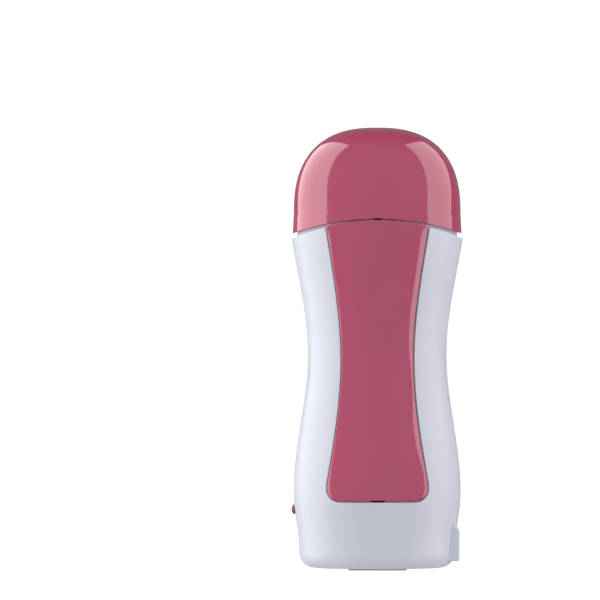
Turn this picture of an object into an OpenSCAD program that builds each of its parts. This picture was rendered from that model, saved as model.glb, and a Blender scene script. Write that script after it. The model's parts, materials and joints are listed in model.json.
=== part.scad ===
// Handheld roll-on wax heater: a waisted two-part shell around a warm bay for a wax cartridge.
// Origin on the resting surface under the middle of the body, +Z up, front towards -Y, mm.

/* [Body outline] */
// Height of the shell's rim at the front
seam_z = 161.4; // [156:0.2:168]
// How far the rim falls from the front to the flanks
seam_drop = 7.9; // [6.5:0.1:9]
// Width where the seam meets the flanks
flank_w = 79.4; // [78:0.2:86]
// How far the rim flares out past the flanks, on each side
rim_flare = 0.5; // [0.2:0.1:0.8]
// How far below the seam's top that flare ends
rim_drop = 1.4; // [1:0.1:2]
// Height over which the shoulder turns upright
shoulder_h = 7; // [5:0.5:9]
// Flare of the flank just under the shoulder, width per height on one side
shoulder_flare = 0.17; // [0.1:0.01:0.22]
// Height of the waist
waist_z = 100; // [92:1:108]
// Room between the heating sleeve and the shell at the waist, on each side
waist_room = 4.2; // [3.2:0.1:6]
// Room between the heater's bands and the rear cover
bundle_room = 0.4; // [0.3:0.1:1.2]
// How far the hip stands out past the waist, on each side
hip_swell = 6.6; // [5.6:0.1:8]
// Height of the hip
hip_z = 36; // [34:1:40]
// How far the body draws in from the hip to its bottom edge, on each side
base_tuck = 2.6; // [1:0.1:4]
// Radius of the bottom edge
base_edge_r = 7; // [5:0.5:9]
// Wall of the body shell
wall = 2.2; // [2:0.1:2.6]
// Floor of the body shell
floor_t = 2.4; // [2:0.1:3.2]
// Thickness of the front panel and the rear cover
skin_t = 1.8; // [1.5:0.1:2]
// Thickness of the shelf that the shell has behind each of them
shelf_t = 1.4; // [1.2:0.1:1.6]

/* [Cap] */
// Gap between the shell's rim and the cap's rim at the front
seam_gap = 1.3; // [1:0.1:2]
// How much wider that gap is at the flanks
seam_spread = 1; // [0.4:0.1:1.6]
// How far the cap's rim lies inside the body's flank
cap_step = 0.5; // [0.2:0.1:0.8]
// Draft of the cap from its rim to the start of the dome, on each side
cap_draft = 0.5; // [0.2:0.1:0.7]
// Height of the start of the dome above the seam's top
dome_rise = 3.6; // [2.6:0.2:6]
// Height of the dome
cap_h = 40; // [36:0.5:46]
// Squareness of the dome, 2 is an ellipse
dome_power = 2.5; // [2.2:0.05:2.9]
// Wall of the dome above its seat
cap_wall = 2.2; // [2:0.1:2.8]
// Width of the nail notch in the cap's rim
cap_notch_w = 3.8; // [3:0.2:6]
// Height of the nail notch
cap_notch_h = 0.7; // [0.5:0.1:1.2]
// Clearance between the cap's skirt and the neck
cap_clearance = 0.3; // [0.2:0.05:0.4]

/* [Neck collar] */
// Height of the neck's top edge above the seam's top
neck_rise = 6.6; // [5:0.2:9]
// Gap between the neck and the shell
neck_gap = 0.3; // [0.2:0.05:0.4]
// Draft of the neck on one side over its height
neck_draft = 0.6; // [0.4:0.1:0.8]
// Wall of the neck
neck_wall = 1.8; // [1.5:0.1:2.2]
// Depth of the deck below the neck's top edge
deck_drop = 3; // [2:0.5:5]
// Thickness of the deck
deck_t = 2; // [1.5:0.1:2.6]
// Length of the tube that holds the top of the heating sleeve
mouth_tube_l = 11; // [8:1:16]
// Wall of that tube
mouth_tube_wall = 1.6; // [1.2:0.1:2]
// Clearance around parts that are fitted once
fit_gap = 0.2; // [0.15:0.05:0.3]

/* [Front panel] */
// Width of the panel at its top
panel_top_w = 47.8; // [44:0.2:50]
// Width of the panel at its waist
panel_waist_w = 33.3; // [30:0.1:35]
// Width of the panel at its hip
panel_hip_w = 46; // [43:0.2:48]
// Height of the panel's waist below the body's
panel_waist_drop = 3; // [0:1:6]
// Height of the panel's hip above the body's
panel_hip_rise = 5; // [4:0.5:7]
// Height of the panel's bottom edge below the body's hip
panel_bottom_drop = 4.7; // [3.5:0.1:7]
// Radius of the panel's bottom corners
panel_corner_r = 5.7; // [4:0.1:6.5]
// Taper of the panel's sides at the top
panel_top_taper = 0.16; // [0.1:0.01:0.2]
// Taper of the panel's sides at the hip
panel_hip_taper = 0.17; // [0.1:0.01:0.2]
// How far the panel's crown stands proud of the body
panel_proud = 0.3; // [0.2:0.05:0.5]
// Width of the rolled edge beside the crown
panel_edge_w = 0.8; // [0.5:0.1:1.4]
// Gap around the panel
panel_gap = 0.45; // [0.3:0.05:0.6]
// Width of the nail slot under the panel
nail_slot_w = 7.5; // [6:0.5:12]
// Height of the nail slot
nail_slot_h = 0.7; // [0.5:0.1:1]
// Width of a snap prong
prong_w = 4; // [3:0.5:5]
// Thickness of a snap prong
prong_t = 1.4; // [1.2:0.1:1.8]
// Reach of a prong behind the pocket floor
prong_reach = 3; // [2:0.5:4]
// Sideways place of the prongs
prong_x = 13; // [11:0.5:14]
// Height of the lower prongs above the panel's bottom edge
prong_low_rise = 11.7; // [10:0.1:14]
// Height of the upper prongs below the seam's top
prong_high_drop = 23.4; // [20:0.2:28]

/* [Rear cover] */
// Height of the cover's lower edge
cover_bottom_z = 29.3; // [28:0.1:31]
// Height of its upper edge below the seam's top
cover_top_drop = 14.7; // [14:0.1:17]
// Furthest reach of its bowed sides in front of the middle plane
cover_reach = 6.5; // [4:0.5:8]
// Gap around the cover
cover_gap = 0.4; // [0.3:0.05:0.6]
// Width of the land that carries the cover
land_w = 7; // [5:0.5:8]
// Sideways place of the cover's screws
cover_screw_x = 13; // [12:0.5:15]
// Distance of the screws from the cover's upper and lower edge
cover_screw_inset = 9.2; // [8.8:0.1:10.5]
// Width of the cover's screw bosses
cover_boss_d = 9; // [8.6:0.1:10]
// Length of the bosses behind the land
cover_boss_l = 4; // [3.5:0.1:4.2]
// Width of the sunk screw heads
cover_head_d = 5.2; // [4.8:0.1:5.4]
// Thread width of the cover's screws
cover_screw_d = 2.9; // [2.5:0.1:3.2]

/* [Cartridge bay] */
// Width of the bay
bay_w = 50; // [46:0.5:54]
// Depth of the bay
bay_d = 30; // [27:0.5:33]
// Corner radius of the bay
bay_corner_r = 12.2; // [11:0.2:13]
// Height of the bay's floor
bay_floor_z = 40.4; // [40:0.2:42]
// Wall of the aluminium sleeve
sleeve_wall = 0.8; // [0.6:0.1:1]
// Thickness of the seat plate under the sleeve
seat_plate_t = 2.4; // [2:0.2:3]
// Height of the seat's rim above the bay's floor
seat_rim_h = 5; // [4:0.5:5.5]
// Wall of the seat's rim
seat_rim_wall = 1.6; // [1.2:0.1:1.8]
// Width of the posts that carry the seat
post_d = 7; // [6.4:0.1:7.6]
// Distance of the posts from the bay's sides
post_inset_x = 11; // [9:0.2:12]
// Distance of the posts from the bay's front and back
post_inset_y = 4.5; // [4:0.1:5]
// Head width of the seat screws
seat_head_d = 5; // [4.6:0.1:5.2]
// Thread width of the seat screws
seat_screw_d = 2.9; // [2.5:0.1:3.1]
// Length of the seat screws under the head
seat_screw_l = 10; // [8:0.5:14]

/* [Heater] */
// Width of the ceramic heater plate
heater_w = 20; // [16:0.5:23]
// Height of the heater plate
heater_h = 40; // [34:1:44]
// Thickness of the heater plate
heater_t = 2.6; // [2.2:0.1:3.2]
// Height of the heater plate's lower edge above the bay's floor
heater_rise = 29.6; // [28.4:0.1:32]
// Thickness of the felt behind the heater
felt_t = 1; // [0.8:0.1:1.4]
// Height of a clamp band
band_h = 6; // [5:0.5:7]
// Thickness of a clamp band
band_t = 0.5; // [0.4:0.05:0.6]
// Width of the thermostat
thermostat_w = 8; // [7:0.5:9]
// Height of the thermostat
thermostat_h = 15; // [13:0.5:16]
// Thickness of the thermostat
thermostat_t = 3.8; // [3:0.1:4.2]
// Sideways place of the thermostat
thermostat_x = -8; // [-9:0.5:-7.5]
// Height of the thermostat's lower edge above the bay's floor
thermostat_rise = 9.6; // [8.5:0.1:10.5]
// Width of the thermal fuse
fuse_d = 4; // [3.6:0.1:4.2]
// Length of the thermal fuse
fuse_l = 14; // [13:0.5:15]
// Sideways place of the thermal fuse
fuse_x = 2; // [1.5:0.1:2.4]

/* [Mains inlet] */
// Height of the middle of the inlet
inlet_z = 11.4; // [11:0.1:12]
// Width of the inlet's opening
inlet_open_w = 16.4; // [16.2:0.1:16.8]
// Height of the inlet's opening
inlet_open_h = 8.4; // [8:0.1:8.8]
// Height of the inlet's opening between its two rounds
inlet_neck_h = 5.6; // [5:0.1:6.4]
// Depth of the inlet's opening
inlet_open_l = 11; // [10:0.5:11.5]
// Wall around the inlet's opening
inlet_wall = 1.1; // [0.9:0.1:1.2]
// Diameter of the inlet pins
pin_d = 2.4; // [2.3:0.1:2.6]
// Spacing of the inlet pins
pin_pitch = 8.6; // [8.4:0.1:8.8]
// How far the pins stay behind the inlet's face
pin_recess = 1; // [0.6:0.1:2]
// How far the inlet's face stands out from the flank
inlet_proud = 1.9; // [1.6:0.1:2.4]
// Rim of the raised boss in front of the inlet and behind it
inlet_boss_rim_w = 1.2; // [1:0.1:2]
// Rim of the boss above and below the inlet
inlet_boss_rim_h = 2.1; // [1.8:0.1:2.6]
// Rise of the boss's sloped top per distance from its face
inlet_boss_slope = 1; // [0.8:0.1:1.4]

/* [Indicator] */
// Height of the indicator
lens_z = 28; // [26:0.5:30]
// Diameter of the lens where it shows
lens_d = 4.8; // [4:0.1:5.2]
// How far the lens stands out
lens_proud = 1.5; // [1:0.1:2]
// Diameter of the neon lamp
lamp_d = 4; // [3.6:0.1:4.1]
// Length of the neon lamp
lamp_l = 10; // [9:0.5:11]

/* [Feet] */
// Length of a foot pad
foot_l = 27; // [20:1:32]
// Width of a foot pad
foot_w = 4; // [3:0.5:6]
// Distance of the foot pads from the middle
foot_y = 15; // [12:0.5:15.5]
// How far the foot pads stand out
foot_proud = 0.8; // [0.6:0.1:1.2]
// Depth of the foot pads' recesses
foot_sink = 0.8; // [0.5:0.1:1]

/* [Hidden] */

$fn = 72;
body_fn = 256;                 // of the large oval shells
big = 200;                     // longer than any piece is wide
past = 1;                      // how far a cut runs past a face
skin = 0.02;                   // the least overlap of joined solids
lap = 0.2;                     // how far joined walls run into each other

pink = [0.67, 0.31, 0.41];
white = [0.88, 0.89, 0.93];
grey = [0.35, 0.35, 0.37];
black = [0.08, 0.08, 0.09];
aluminium = [0.78, 0.79, 0.80];
steel = [0.62, 0.63, 0.65];
ceramic = [0.90, 0.88, 0.82];
felt = [0.82, 0.80, 0.72];
brass = [0.78, 0.62, 0.32];
amber = [0.55, 0.16, 0.14];
glass = [0.80, 0.75, 0.70];
tan_coat = [0.75, 0.62, 0.45];

// ---- outline of the body ----

skin_gap = 0.2;                // between a skin and its shelf
clamp_gap = 0.05;              // between a band and what it holds
shelf_depth = skin_t + skin_gap;
shelf_back = shelf_depth + shelf_t;
rim_z = seam_z - rim_drop;
flank_z = rim_z - shoulder_h;
flank_r = flank_w / 2;
shoulder_r = flank_r + rim_flare;
waist_r = bay_w / 2 + sleeve_wall + waist_room + wall;
hip_r = waist_r + hip_swell;
base_r = hip_r - base_tuck;
mean_r = (waist_r + shoulder_r) / 2;
base_edge_z = foot_proud + base_edge_r;

// The body is as deep as the heater behind the bay needs at the waist
back_y = bay_d / 2 + sleeve_wall;
bundle_x = heater_w / 2 + clamp_gap + band_t;
bundle_y = back_y + heater_t + felt_t + clamp_gap + band_t;
cover_ratio = (bundle_y + bundle_room) / sqrt(pow(waist_r - skin_t, 2) - pow(bundle_x, 2));
depth_ratio = (cover_ratio * (mean_r - skin_t) + skin_t) / mean_r;
shoulder_d = 2 * shoulder_r * depth_ratio;
blank_rise = 8;                // of the solid oval's top above the rim, for the seam to cut
blank_top_z = rim_z + blank_rise;

// Cubic curve from a to b over the height h, with slopes sa and sb at its ends
function cubic(a, b, sa, sb, h, t) =
    a * (2*t*t*t - 3*t*t + 1) + b * (3*t*t - 2*t*t*t)
    + h * sa * (t*t*t - 2*t*t + t) + h * sb * (t*t*t - t*t);

// Half width of the body at the height z
function body_r(z) =
    z < hip_z ? cubic(base_r, hip_r, 0, 0, hip_z - base_edge_z,
                      (z - base_edge_z) / (hip_z - base_edge_z))
    : z < waist_z ? cubic(hip_r, waist_r, 0, 0, waist_z - hip_z, (z - hip_z) / (waist_z - hip_z))
    : z < flank_z ? cubic(waist_r, flank_r, 0, shoulder_flare, flank_z - waist_z,
                          (z - waist_z) / (flank_z - waist_z))
    : z < rim_z ? cubic(flank_r, shoulder_r, shoulder_flare, 0, rim_z - flank_z,
                        (z - flank_z) / (rim_z - flank_z))
    : shoulder_r;

// How deep the body is behind or in front of its middle plane, at x and z
function body_y(x, z) = depth_ratio * sqrt(pow(body_r(z), 2) - x * x);

// Depth per width of a surface that lies d inside an oval of half width r
function inset_ratio(r, d) = (r * depth_ratio - d) / (r - d);

function steps(a, b, n) = [for (i = [0 : n - 1]) a + (b - a) * i / n];
body_levels = concat(steps(base_edge_z, hip_z, 3), steps(hip_z, waist_z, 8),
                     steps(waist_z, flank_z, 7), steps(flank_z, rim_z, 2), [rim_z, blank_top_z]);
edge_steps = 5;

// Half section of the body, d inside its side and e above its underside
function body_section(d, e) = concat(
    [[0, foot_proud + e]],
    [for (i = [0 : edge_steps - 1]) let (a = 90 * i / edge_steps)
        [base_r - base_edge_r + (base_edge_r - d) * sin(a),
         base_edge_z - (base_edge_r - e) * cos(a)]],
    [for (z = body_levels) [body_r(z) - d, z]],
    [[0, blank_top_z]]);

// Round solid of a half section, flattened front to back
module oval(ratio, section) {
    scale([1, ratio, 1]) rotate_extrude($fn = body_fn) polygon(section);
}

// The same as a front and a back half
module oval_halves(ratio, section) {
    for (a = [0, 180]) scale([1, ratio, 1]) rotate(a)
        rotate_extrude(angle = 180, $fn = body_fn) polygon(section);
}

// Solid oval body, d inside the outer surface and e above its underside
module oval_body(d, e) {
    oval(inset_ratio(mean_r, d), body_section(d, e));
}

// Space between two surfaces that lie d1 and d2 inside the outer one
module body_skin(d1, d2) {
    difference() {
        oval_body(d1, d1);
        oval_body(d2, d2);
    }
}

// Radius of the arc that falls by drop over a half width
function arc_r(half, drop) = (half * half + drop * drop) / (2 * drop);

// Everything under an arched seam, from front to back
module under_arc(z, half, drop) {
    r = arc_r(half, drop);
    translate([0, 0, z - r]) rotate([90, 0, 0]) cylinder(r = r, h = big, center = true, $fn = body_fn);
}

module under_seam(rise = 0) {
    under_arc(seam_z + rise, flank_r, seam_drop);
}

// Oval tube outline with straight sides, as the cartridge has
module bay_outline(grow = 0) {
    r = bay_corner_r + grow;
    hull() {
        for (sx = [-1, 1], sy = [-1, 1])
            translate([sx * (bay_w / 2 - bay_corner_r), sy * (bay_d / 2 - bay_corner_r)])
                circle(r = r, $fn = 48);
    }
}

// The same outline as an exact solid with round corners
module bay_solid(grow, h) {
    w = bay_w / 2 + grow;
    d = bay_d / 2 + grow;
    cx = bay_w / 2 - bay_corner_r;
    cy = bay_d / 2 - bay_corner_r;
    union() {
        translate([-w, -cy, 0]) cube([2 * w, 2 * cy, h]);
        translate([-cx, -d, 0]) cube([2 * cx, 2 * d, h]);
        for (sx = [-1, 1], sy = [-1, 1])
            translate([sx * cx, sy * cy, 0]) cylinder(r = bay_corner_r + grow, h = h);
    }
}

// ---- front panel ----

panel_r_top = panel_top_w / 2;
panel_r_waist = panel_waist_w / 2;
panel_r_hip = panel_hip_w / 2;
panel_waist_z = waist_z - panel_waist_drop;
panel_hip_z = hip_z + panel_hip_rise;
panel_bottom_z = hip_z - panel_bottom_drop;
panel_level_z = panel_bottom_z + panel_corner_r;
prong_low_z = panel_bottom_z + prong_low_rise;
prong_high_z = seam_z - prong_high_drop;
panel_low_r = panel_r_hip + panel_hip_taper * (panel_hip_z - panel_level_z) / 2;

// Half width of the panel at the height z
function panel_r(z) =
    z < panel_hip_z ? cubic(panel_low_r, panel_r_hip, 0, -panel_hip_taper,
                            panel_hip_z - panel_level_z,
                            (z - panel_level_z) / (panel_hip_z - panel_level_z))
    : z < panel_waist_z ? cubic(panel_r_hip, panel_r_waist, -panel_hip_taper, 0,
                                panel_waist_z - panel_hip_z,
                                (z - panel_hip_z) / (panel_waist_z - panel_hip_z))
    : cubic(panel_r_waist, panel_r_top, 0, panel_top_taper, rim_z - panel_waist_z,
            (z - panel_waist_z) / (rim_z - panel_waist_z));

panel_levels = concat(steps(panel_level_z, panel_hip_z, 2),
                      steps(panel_hip_z, panel_waist_z, 8),
                      steps(panel_waist_z, rim_z, 7), [rim_z, blank_top_z]);
corner_steps = 5;

// Right half of the panel's outline, g wider all round
function panel_side(g) = concat(
    [for (i = [0 : corner_steps - 1]) let (a = 90 * i / corner_steps)
        [panel_low_r - panel_corner_r + (panel_corner_r + g) * sin(a),
         panel_level_z - (panel_corner_r + g) * cos(a)]],
    [for (z = panel_levels) [panel_r(z) + g, z]]);

function mirrored(points) = [for (i = [len(points) - 1 : -1 : 0]) [-points[i][0], points[i][1]]];

// Prism of the panel's outline through the front half of the body
module panel_prism(g) {
    side = panel_side(g);
    rotate([90, 0, 0]) linear_extrude(height = shoulder_d) polygon(concat(side, mirrored(side)));
}

pocket_rim_w = 1.6;            // how far the shelf runs behind the shell
panel_rise = 0.4;              // how far the panel's top stands above the shell's rim
prong_gap = 0.3;

module at_prongs() {
    for (sx = [-1, 1], z = [prong_low_z, prong_high_z])
        translate([sx * prong_x, 0, z]) children();
}

// Straight prong or slot through the pocket's floor, g wider all round
module prong_bar(g, depth) {
    translate([-prong_w / 2 - g, -shoulder_d, -prong_t / 2 - g])
        cube([prong_w + 2 * g, shoulder_d - depth, prong_t + 2 * g]);
}

// How far in front of the middle plane the prongs end at the height z
function prong_end(z) =
    body_y(prong_x, z) - shelf_back - prong_reach;

module front_panel() {
    color(pink) {
        difference() {
            intersection() {
                union() {
                    intersection() {
                        oval_body(0, 0);
                        panel_prism(0);
                    }
                    intersection() {
                        oval_body(-panel_proud, 0);
                        panel_prism(-panel_edge_w);
                    }
                }
                under_seam(panel_rise);
            }
            oval_body(skin_t, skin_t);
            translate([-nail_slot_w / 2, -shoulder_d, panel_bottom_z - skin])
                cube([nail_slot_w, shoulder_d, nail_slot_h + skin]);
        }
        intersection() {
            for (sx = [-1, 1], z = [prong_low_z, prong_high_z])
                translate([sx * prong_x, 0, z]) prong_bar(0, prong_end(z));
            oval_body(skin_t - lap, skin_t - lap);
        }
    }
}

// ---- rear cover ----

cover_top_z = seam_z - cover_top_drop;
cover_z = (cover_top_z + cover_bottom_z) / 2;
cover_r = arc_r((cover_top_z - cover_bottom_z) / 2, shoulder_d / 2 + cover_reach);
cover_axis_y = cover_r - cover_reach;
land_lip = 1.6;                // how far the shelf runs behind the shell

// Everything inside a bowed edge, g wider
module behind_bow(g) {
    translate([0, cover_axis_y, cover_z]) rotate([0, 90, 0])
        cylinder(r = cover_r + g, h = big, center = true, $fn = body_fn);
}

// Depth of the seat under a cover screw's boss, and the places of the four screws
boss_drop = 4;
boss_recess_gap = 0.3;
cover_boss_wall = 0.9;
function boss_seat_y(z) = body_y(cover_screw_x, z) - boss_drop;
cover_screw_levels = [cover_bottom_z + cover_screw_inset, cover_top_z - cover_screw_inset];
cover_plug_r = cover_boss_d / 2 - cover_boss_wall - boss_recess_gap;
head_floor = 1.4;              // material under a screw head
head_h = 1.6;
head_gap = 0.25;
drive_w = 0.8;                 // arms of the cross in a screw head
drive_reach = 0.6;             // span of the cross, as a share of the head
thread_gap = 0.05;
cover_screw_reach = 3;         // thread past the boss seat
thread_end = 0.5;              // free depth past the end of a thread

module along_y(r, y1, y2) {
    translate([0, y1, 0]) rotate([-90, 0, 0]) cylinder(r = r, h = y2 - y1);
}

module at_cover_screws() {
    for (sx = [-1, 1], z = cover_screw_levels)
        translate([sx * cover_screw_x, boss_seat_y(z), z]) children();
}

module rear_cover() {
    color(white) difference() {
        union() {
            intersection() {
                body_skin(0, skin_t);
                behind_bow(-cover_gap);
            }
            intersection() {
                at_cover_screws() along_y(cover_plug_r, 0, boss_drop);
                oval_body(skin_t - lap, skin_t);
            }
        }
        at_cover_screws() {
            along_y(cover_head_d / 2 + head_gap, head_floor, big);
            along_y(cover_screw_d / 2 + head_gap, -skin, big);
        }
    }
}

module rear_cover_screws() {
    color(steel) at_cover_screws() {
        along_y(cover_screw_d / 2, -cover_screw_reach, head_floor + skin);
        difference() {
            along_y(cover_head_d / 2, head_floor, head_floor + head_h);
            for (a = [0, 90]) translate([0, head_floor + head_h, 0]) rotate([0, a, 0])
                cube([cover_head_d * drive_reach, head_h, drive_w], center = true);
        }
    }
}

// ---- housing ----

inlet_body_w = inlet_open_w + 2 * inlet_wall;
inlet_body_h = inlet_open_h + 2 * inlet_wall;
inlet_face_x = body_r(inlet_z) + inlet_proud;
inlet_pad_t = 8.6;             // from the boss's face to the pad's inner face
inlet_pad_x = inlet_face_x - inlet_pad_t;
inlet_boss_w = inlet_body_w + 2 * inlet_boss_rim_w;
inlet_boss_h = inlet_body_h + 2 * inlet_boss_rim_h;
inlet_flange_grow = 1.4;       // how far the flange runs past the moulding
inlet_corner_r = 2;
inlet_boss_bottom = inlet_z - inlet_boss_h / 2;
boss_edge_r = 1.6;

// Raised boss on the right flank, seen from the front
function inlet_boss_outline() = concat(
    [[inlet_pad_x, inlet_boss_bottom]],
    [for (a = [0 : 22.5 : 90]) [inlet_face_x - boss_edge_r + boss_edge_r * sin(a),
                                inlet_boss_bottom + boss_edge_r - boss_edge_r * cos(a)]],
    [[inlet_face_x, inlet_boss_bottom + inlet_boss_h],
     [inlet_pad_x, inlet_boss_bottom + inlet_boss_h
         + inlet_boss_slope * (inlet_face_x - inlet_pad_x)]]);

module inlet_boss() {
    rotate([90, 0, 0]) linear_extrude(height = inlet_boss_w, center = true)
        polygon(inlet_boss_outline());
}

// Rounded block that the inlet's moulding fills, g wider
module inlet_block(x1, x2, g) {
    r = inlet_corner_r + g;
    w = inlet_body_w / 2 + g;
    h = inlet_body_h / 2 + g;
    translate([x1, 0, inlet_z]) rotate([0, 90, 0]) union() {
        translate([-h, -w + r, 0]) cube([2 * h, 2 * (w - r), x2 - x1]);
        translate([-h + r, -w, 0]) cube([2 * (h - r), 2 * w, x2 - x1]);
        for (sx = [-1, 1], sy = [-1, 1])
            translate([sx * (h - r), sy * (w - r), 0]) cylinder(r = r, h = x2 - x1, $fn = 32);
    }
}

lens_pad_t = 3.9;
lens_pad_x = body_r(lens_z) - lens_pad_t;
lens_pad_d = 10;
post_x = bay_w / 2 - post_inset_x;
post_y = bay_d / 2 - post_inset_y;
post_top_z = bay_floor_z - seat_plate_t;

module at_posts() {
    for (sx = [-1, 1], sy = [-1, 1]) translate([sx * post_x, sy * post_y, 0]) children();
}

module seat_posts() {
    at_posts() cylinder(d = post_d, h = post_top_z);
}

module at_feet() {
    for (sy = [-1, 1]) translate([0, sy * foot_y, 0]) children();
}

module foot_bar(l, w, z1, z2) {
    translate([0, 0, z1]) {
        translate([-(l - w) / 2, -w / 2, 0]) cube([l - w, w, z2 - z1]);
        for (sx = [-1, 1]) translate([sx * (l - w) / 2, 0, 0])
            cylinder(d = w, h = z2 - z1, $fn = 32);
    }
}

module foot_pads() {
    color(grey) at_feet() foot_bar(foot_l, foot_w, 0, foot_proud + foot_sink);
}

clip_t = 1.6;                  // rib that keeps the inlet's moulding from moving inwards
clip_gap = 0.2;
inlet_flange_t = 1.6;

// Shelves behind the skins, with the bosses, posts and ribs inside the shell
module inner_parts() {
    intersection() {
        oval_body(shelf_depth, shelf_depth);
        union() {
            difference() {
                union() {
                    difference() {
                        behind_bow(land_lip);
                        behind_bow(-land_w);
                    }
                    panel_prism(panel_gap + pocket_rim_w);
                }
                oval_body(shelf_back, shelf_back);
            }
            at_cover_screws() along_y(cover_boss_d / 2, -cover_boss_l, boss_drop);
            seat_posts();
            inlet_clip();
        }
    }
}

module shell() {
    difference() {
        union() {
            oval_body(0, 0);
            inlet_boss();
        }
        difference() {
            oval_body(wall, floor_t);
            translate([inlet_pad_x, -inlet_boss_w / 2, 0])
                cube([big, inlet_boss_w, inlet_boss_bottom + inlet_boss_h]);
            translate([-big - lens_pad_x, 0, lens_z]) rotate([0, 90, 0])
                cylinder(d = lens_pad_d, h = big);
        }
        behind_bow(0);
        panel_prism(panel_gap);
    }
}

module housing() {
    color(white) difference() {
        intersection() {
            union() {
                shell();
                inner_parts();
            }
            under_seam();
        }
        at_prongs() prong_bar(prong_gap, 0);
        at_cover_screws() {
            along_y(cover_plug_r + boss_recess_gap, 0, big);
            along_y(cover_screw_d / 2 + thread_gap, -cover_screw_reach - thread_end, big);
        }
        inlet_block(inlet_pad_x - past, inlet_face_x + past, fit_gap);
        translate([-big, 0, lens_z]) rotate([0, 90, 0]) cylinder(d = lens_d + fit_gap, h = big);
        at_posts() translate([0, 0, post_top_z - seat_screw_l])
            cylinder(d = seat_screw_d + 2 * thread_gap, h = seat_screw_l + past);
        at_feet() foot_bar(foot_l + fit_gap, foot_w + fit_gap, 0, foot_proud + foot_sink);
    }
}

// Two ribs on the floor behind the inlet's flange
module inlet_clip() {
    x = inlet_pad_x - inlet_flange_t - clip_gap - clip_t;
    y = inlet_body_w / 2 + clip_gap;
    for (sy = [-1, 1]) translate([x, sy * (y + clip_t / 2) - clip_t / 2, foot_proud])
        cube([clip_t, clip_t, inlet_z - foot_proud + inlet_body_h / 2]);
}

// ---- neck collar and cap ----

neck_r = flank_r - wall - neck_gap;
neck_top_z = seam_z + neck_rise;
collar_clear = 0.6;            // height kept free above the rear land
collar_bottom_z = cover_top_z + land_lip + collar_clear;
deck_z = neck_top_z - deck_drop;
neck_foot_r = min(body_r(collar_bottom_z) - wall - fit_gap, neck_r);

// Half width of the neck at the height z
function neck_at(z) = neck_r - neck_draft * (z - flank_z) / (neck_top_z - flank_z);

// Half section of the neck, d inside its side and longer at both ends by over
function neck_section(d, over) = [
    [0, collar_bottom_z - over],
    [neck_foot_r - d, collar_bottom_z - over],
    [neck_at(flank_z) - d, flank_z],
    [neck_at(neck_top_z + over) - d, neck_top_z + over],
    [0, neck_top_z + over]];

module neck_body(d, over) {
    oval(inset_ratio(flank_r, flank_r - neck_r + d), neck_section(d, over));
}

module neck_collar() {
    color(white) difference() {
        union() {
            difference() {
                neck_body(0, 0);
                difference() {
                    neck_body(neck_wall, past);
                    translate([-big / 2, -big / 2, deck_z - deck_t]) cube([big, big, deck_t]);
                }
            }
            translate([0, 0, deck_z - deck_t - mouth_tube_l])
                bay_solid(sleeve_wall + fit_gap + mouth_tube_wall, mouth_tube_l + lap);
        }
        translate([0, 0, deck_z - deck_t - mouth_tube_l - past])
            bay_solid(sleeve_wall + fit_gap, mouth_tube_l + past);
        bay_through();
        intersection() {
            difference() {
                panel_prism(panel_gap + pocket_rim_w + fit_gap);
                oval_body(shelf_back + fit_gap, wall);
            }
            under_seam(fit_gap);
        }
    }
}

module bay_through() {
    translate([0, 0, bay_floor_z]) bay_solid(0, big);
}

cap_seat_gap = 0.2;            // between the neck's top edge and the cap's seat
cap_seat_w = 1.2;              // how far the seat reaches over the neck's edge
cap_rim_r = flank_r - cap_step;
cap_r = cap_rim_r - cap_draft;
cap_rim_z = seam_z + seam_gap;
cap_rim_drop = seam_drop - seam_spread;
dome_z = seam_z + dome_rise;
cap_foot_z = cap_rim_z - cap_rim_drop - 2 * past;
dome_steps = 16;
dome_spread = 0.9;             // under 1 crowds the levels towards the crown

// Half section of the dome, t inside its surface
function dome_section(t, foot_r, foot_z) = concat(
    [[0, foot_z], [foot_r, foot_z]],
    [for (i = [0 : dome_steps]) let (a = 90 * pow(i / dome_steps, dome_spread))
        [(cap_r - t) * pow(max(cos(a), 0), 2 / dome_power),
         dome_z + (cap_h - t) * pow(sin(a), 2 / dome_power)]]);

module dome(t, foot_r, foot_z) {
    oval_halves(inset_ratio(cap_rim_r, t), dome_section(t, foot_r, foot_z));
}

// Room inside the cap's skirt, which follows the neck's draft
module skirt_room() {
    top = neck_top_z + cap_seat_gap;
    oval_halves(inset_ratio(flank_r, flank_r - neck_r - cap_clearance), [
        [0, cap_foot_z - past], [neck_at(cap_foot_z) + cap_clearance, cap_foot_z - past],
        [neck_at(top) + cap_clearance, top], [0, top]]);
}

// Step inside the cap that rests on the neck's top edge
module cap_seat() {
    foot = neck_top_z + cap_seat_gap;
    outer = cap_r - cap_wall / 2;
    inner = neck_at(neck_top_z) - cap_seat_w;
    oval_halves(inset_ratio(cap_rim_r, cap_rim_r - inner), [
        [inner, foot], [outer, foot], [outer, foot + 2 * cap_seat_w],
        [cap_r - cap_wall - lap, foot + 2 * cap_seat_w], [inner, foot + cap_seat_w]]);
}

module cap() {
    color(pink) difference() {
        union() {
            difference() {
                dome(0, cap_rim_r, cap_foot_z);
                dome(cap_wall, cap_r - cap_wall, dome_z - past);
            }
            cap_seat();
        }
        skirt_room();
        under_arc(cap_rim_z, cap_rim_r, cap_rim_drop);
        translate([-cap_notch_w / 2, -shoulder_d, cap_rim_z - past])
            cube([cap_notch_w, shoulder_d, past + cap_notch_h]);
    }
}

// ---- cartridge bay ----

seat_head_h = 1.2;

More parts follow.
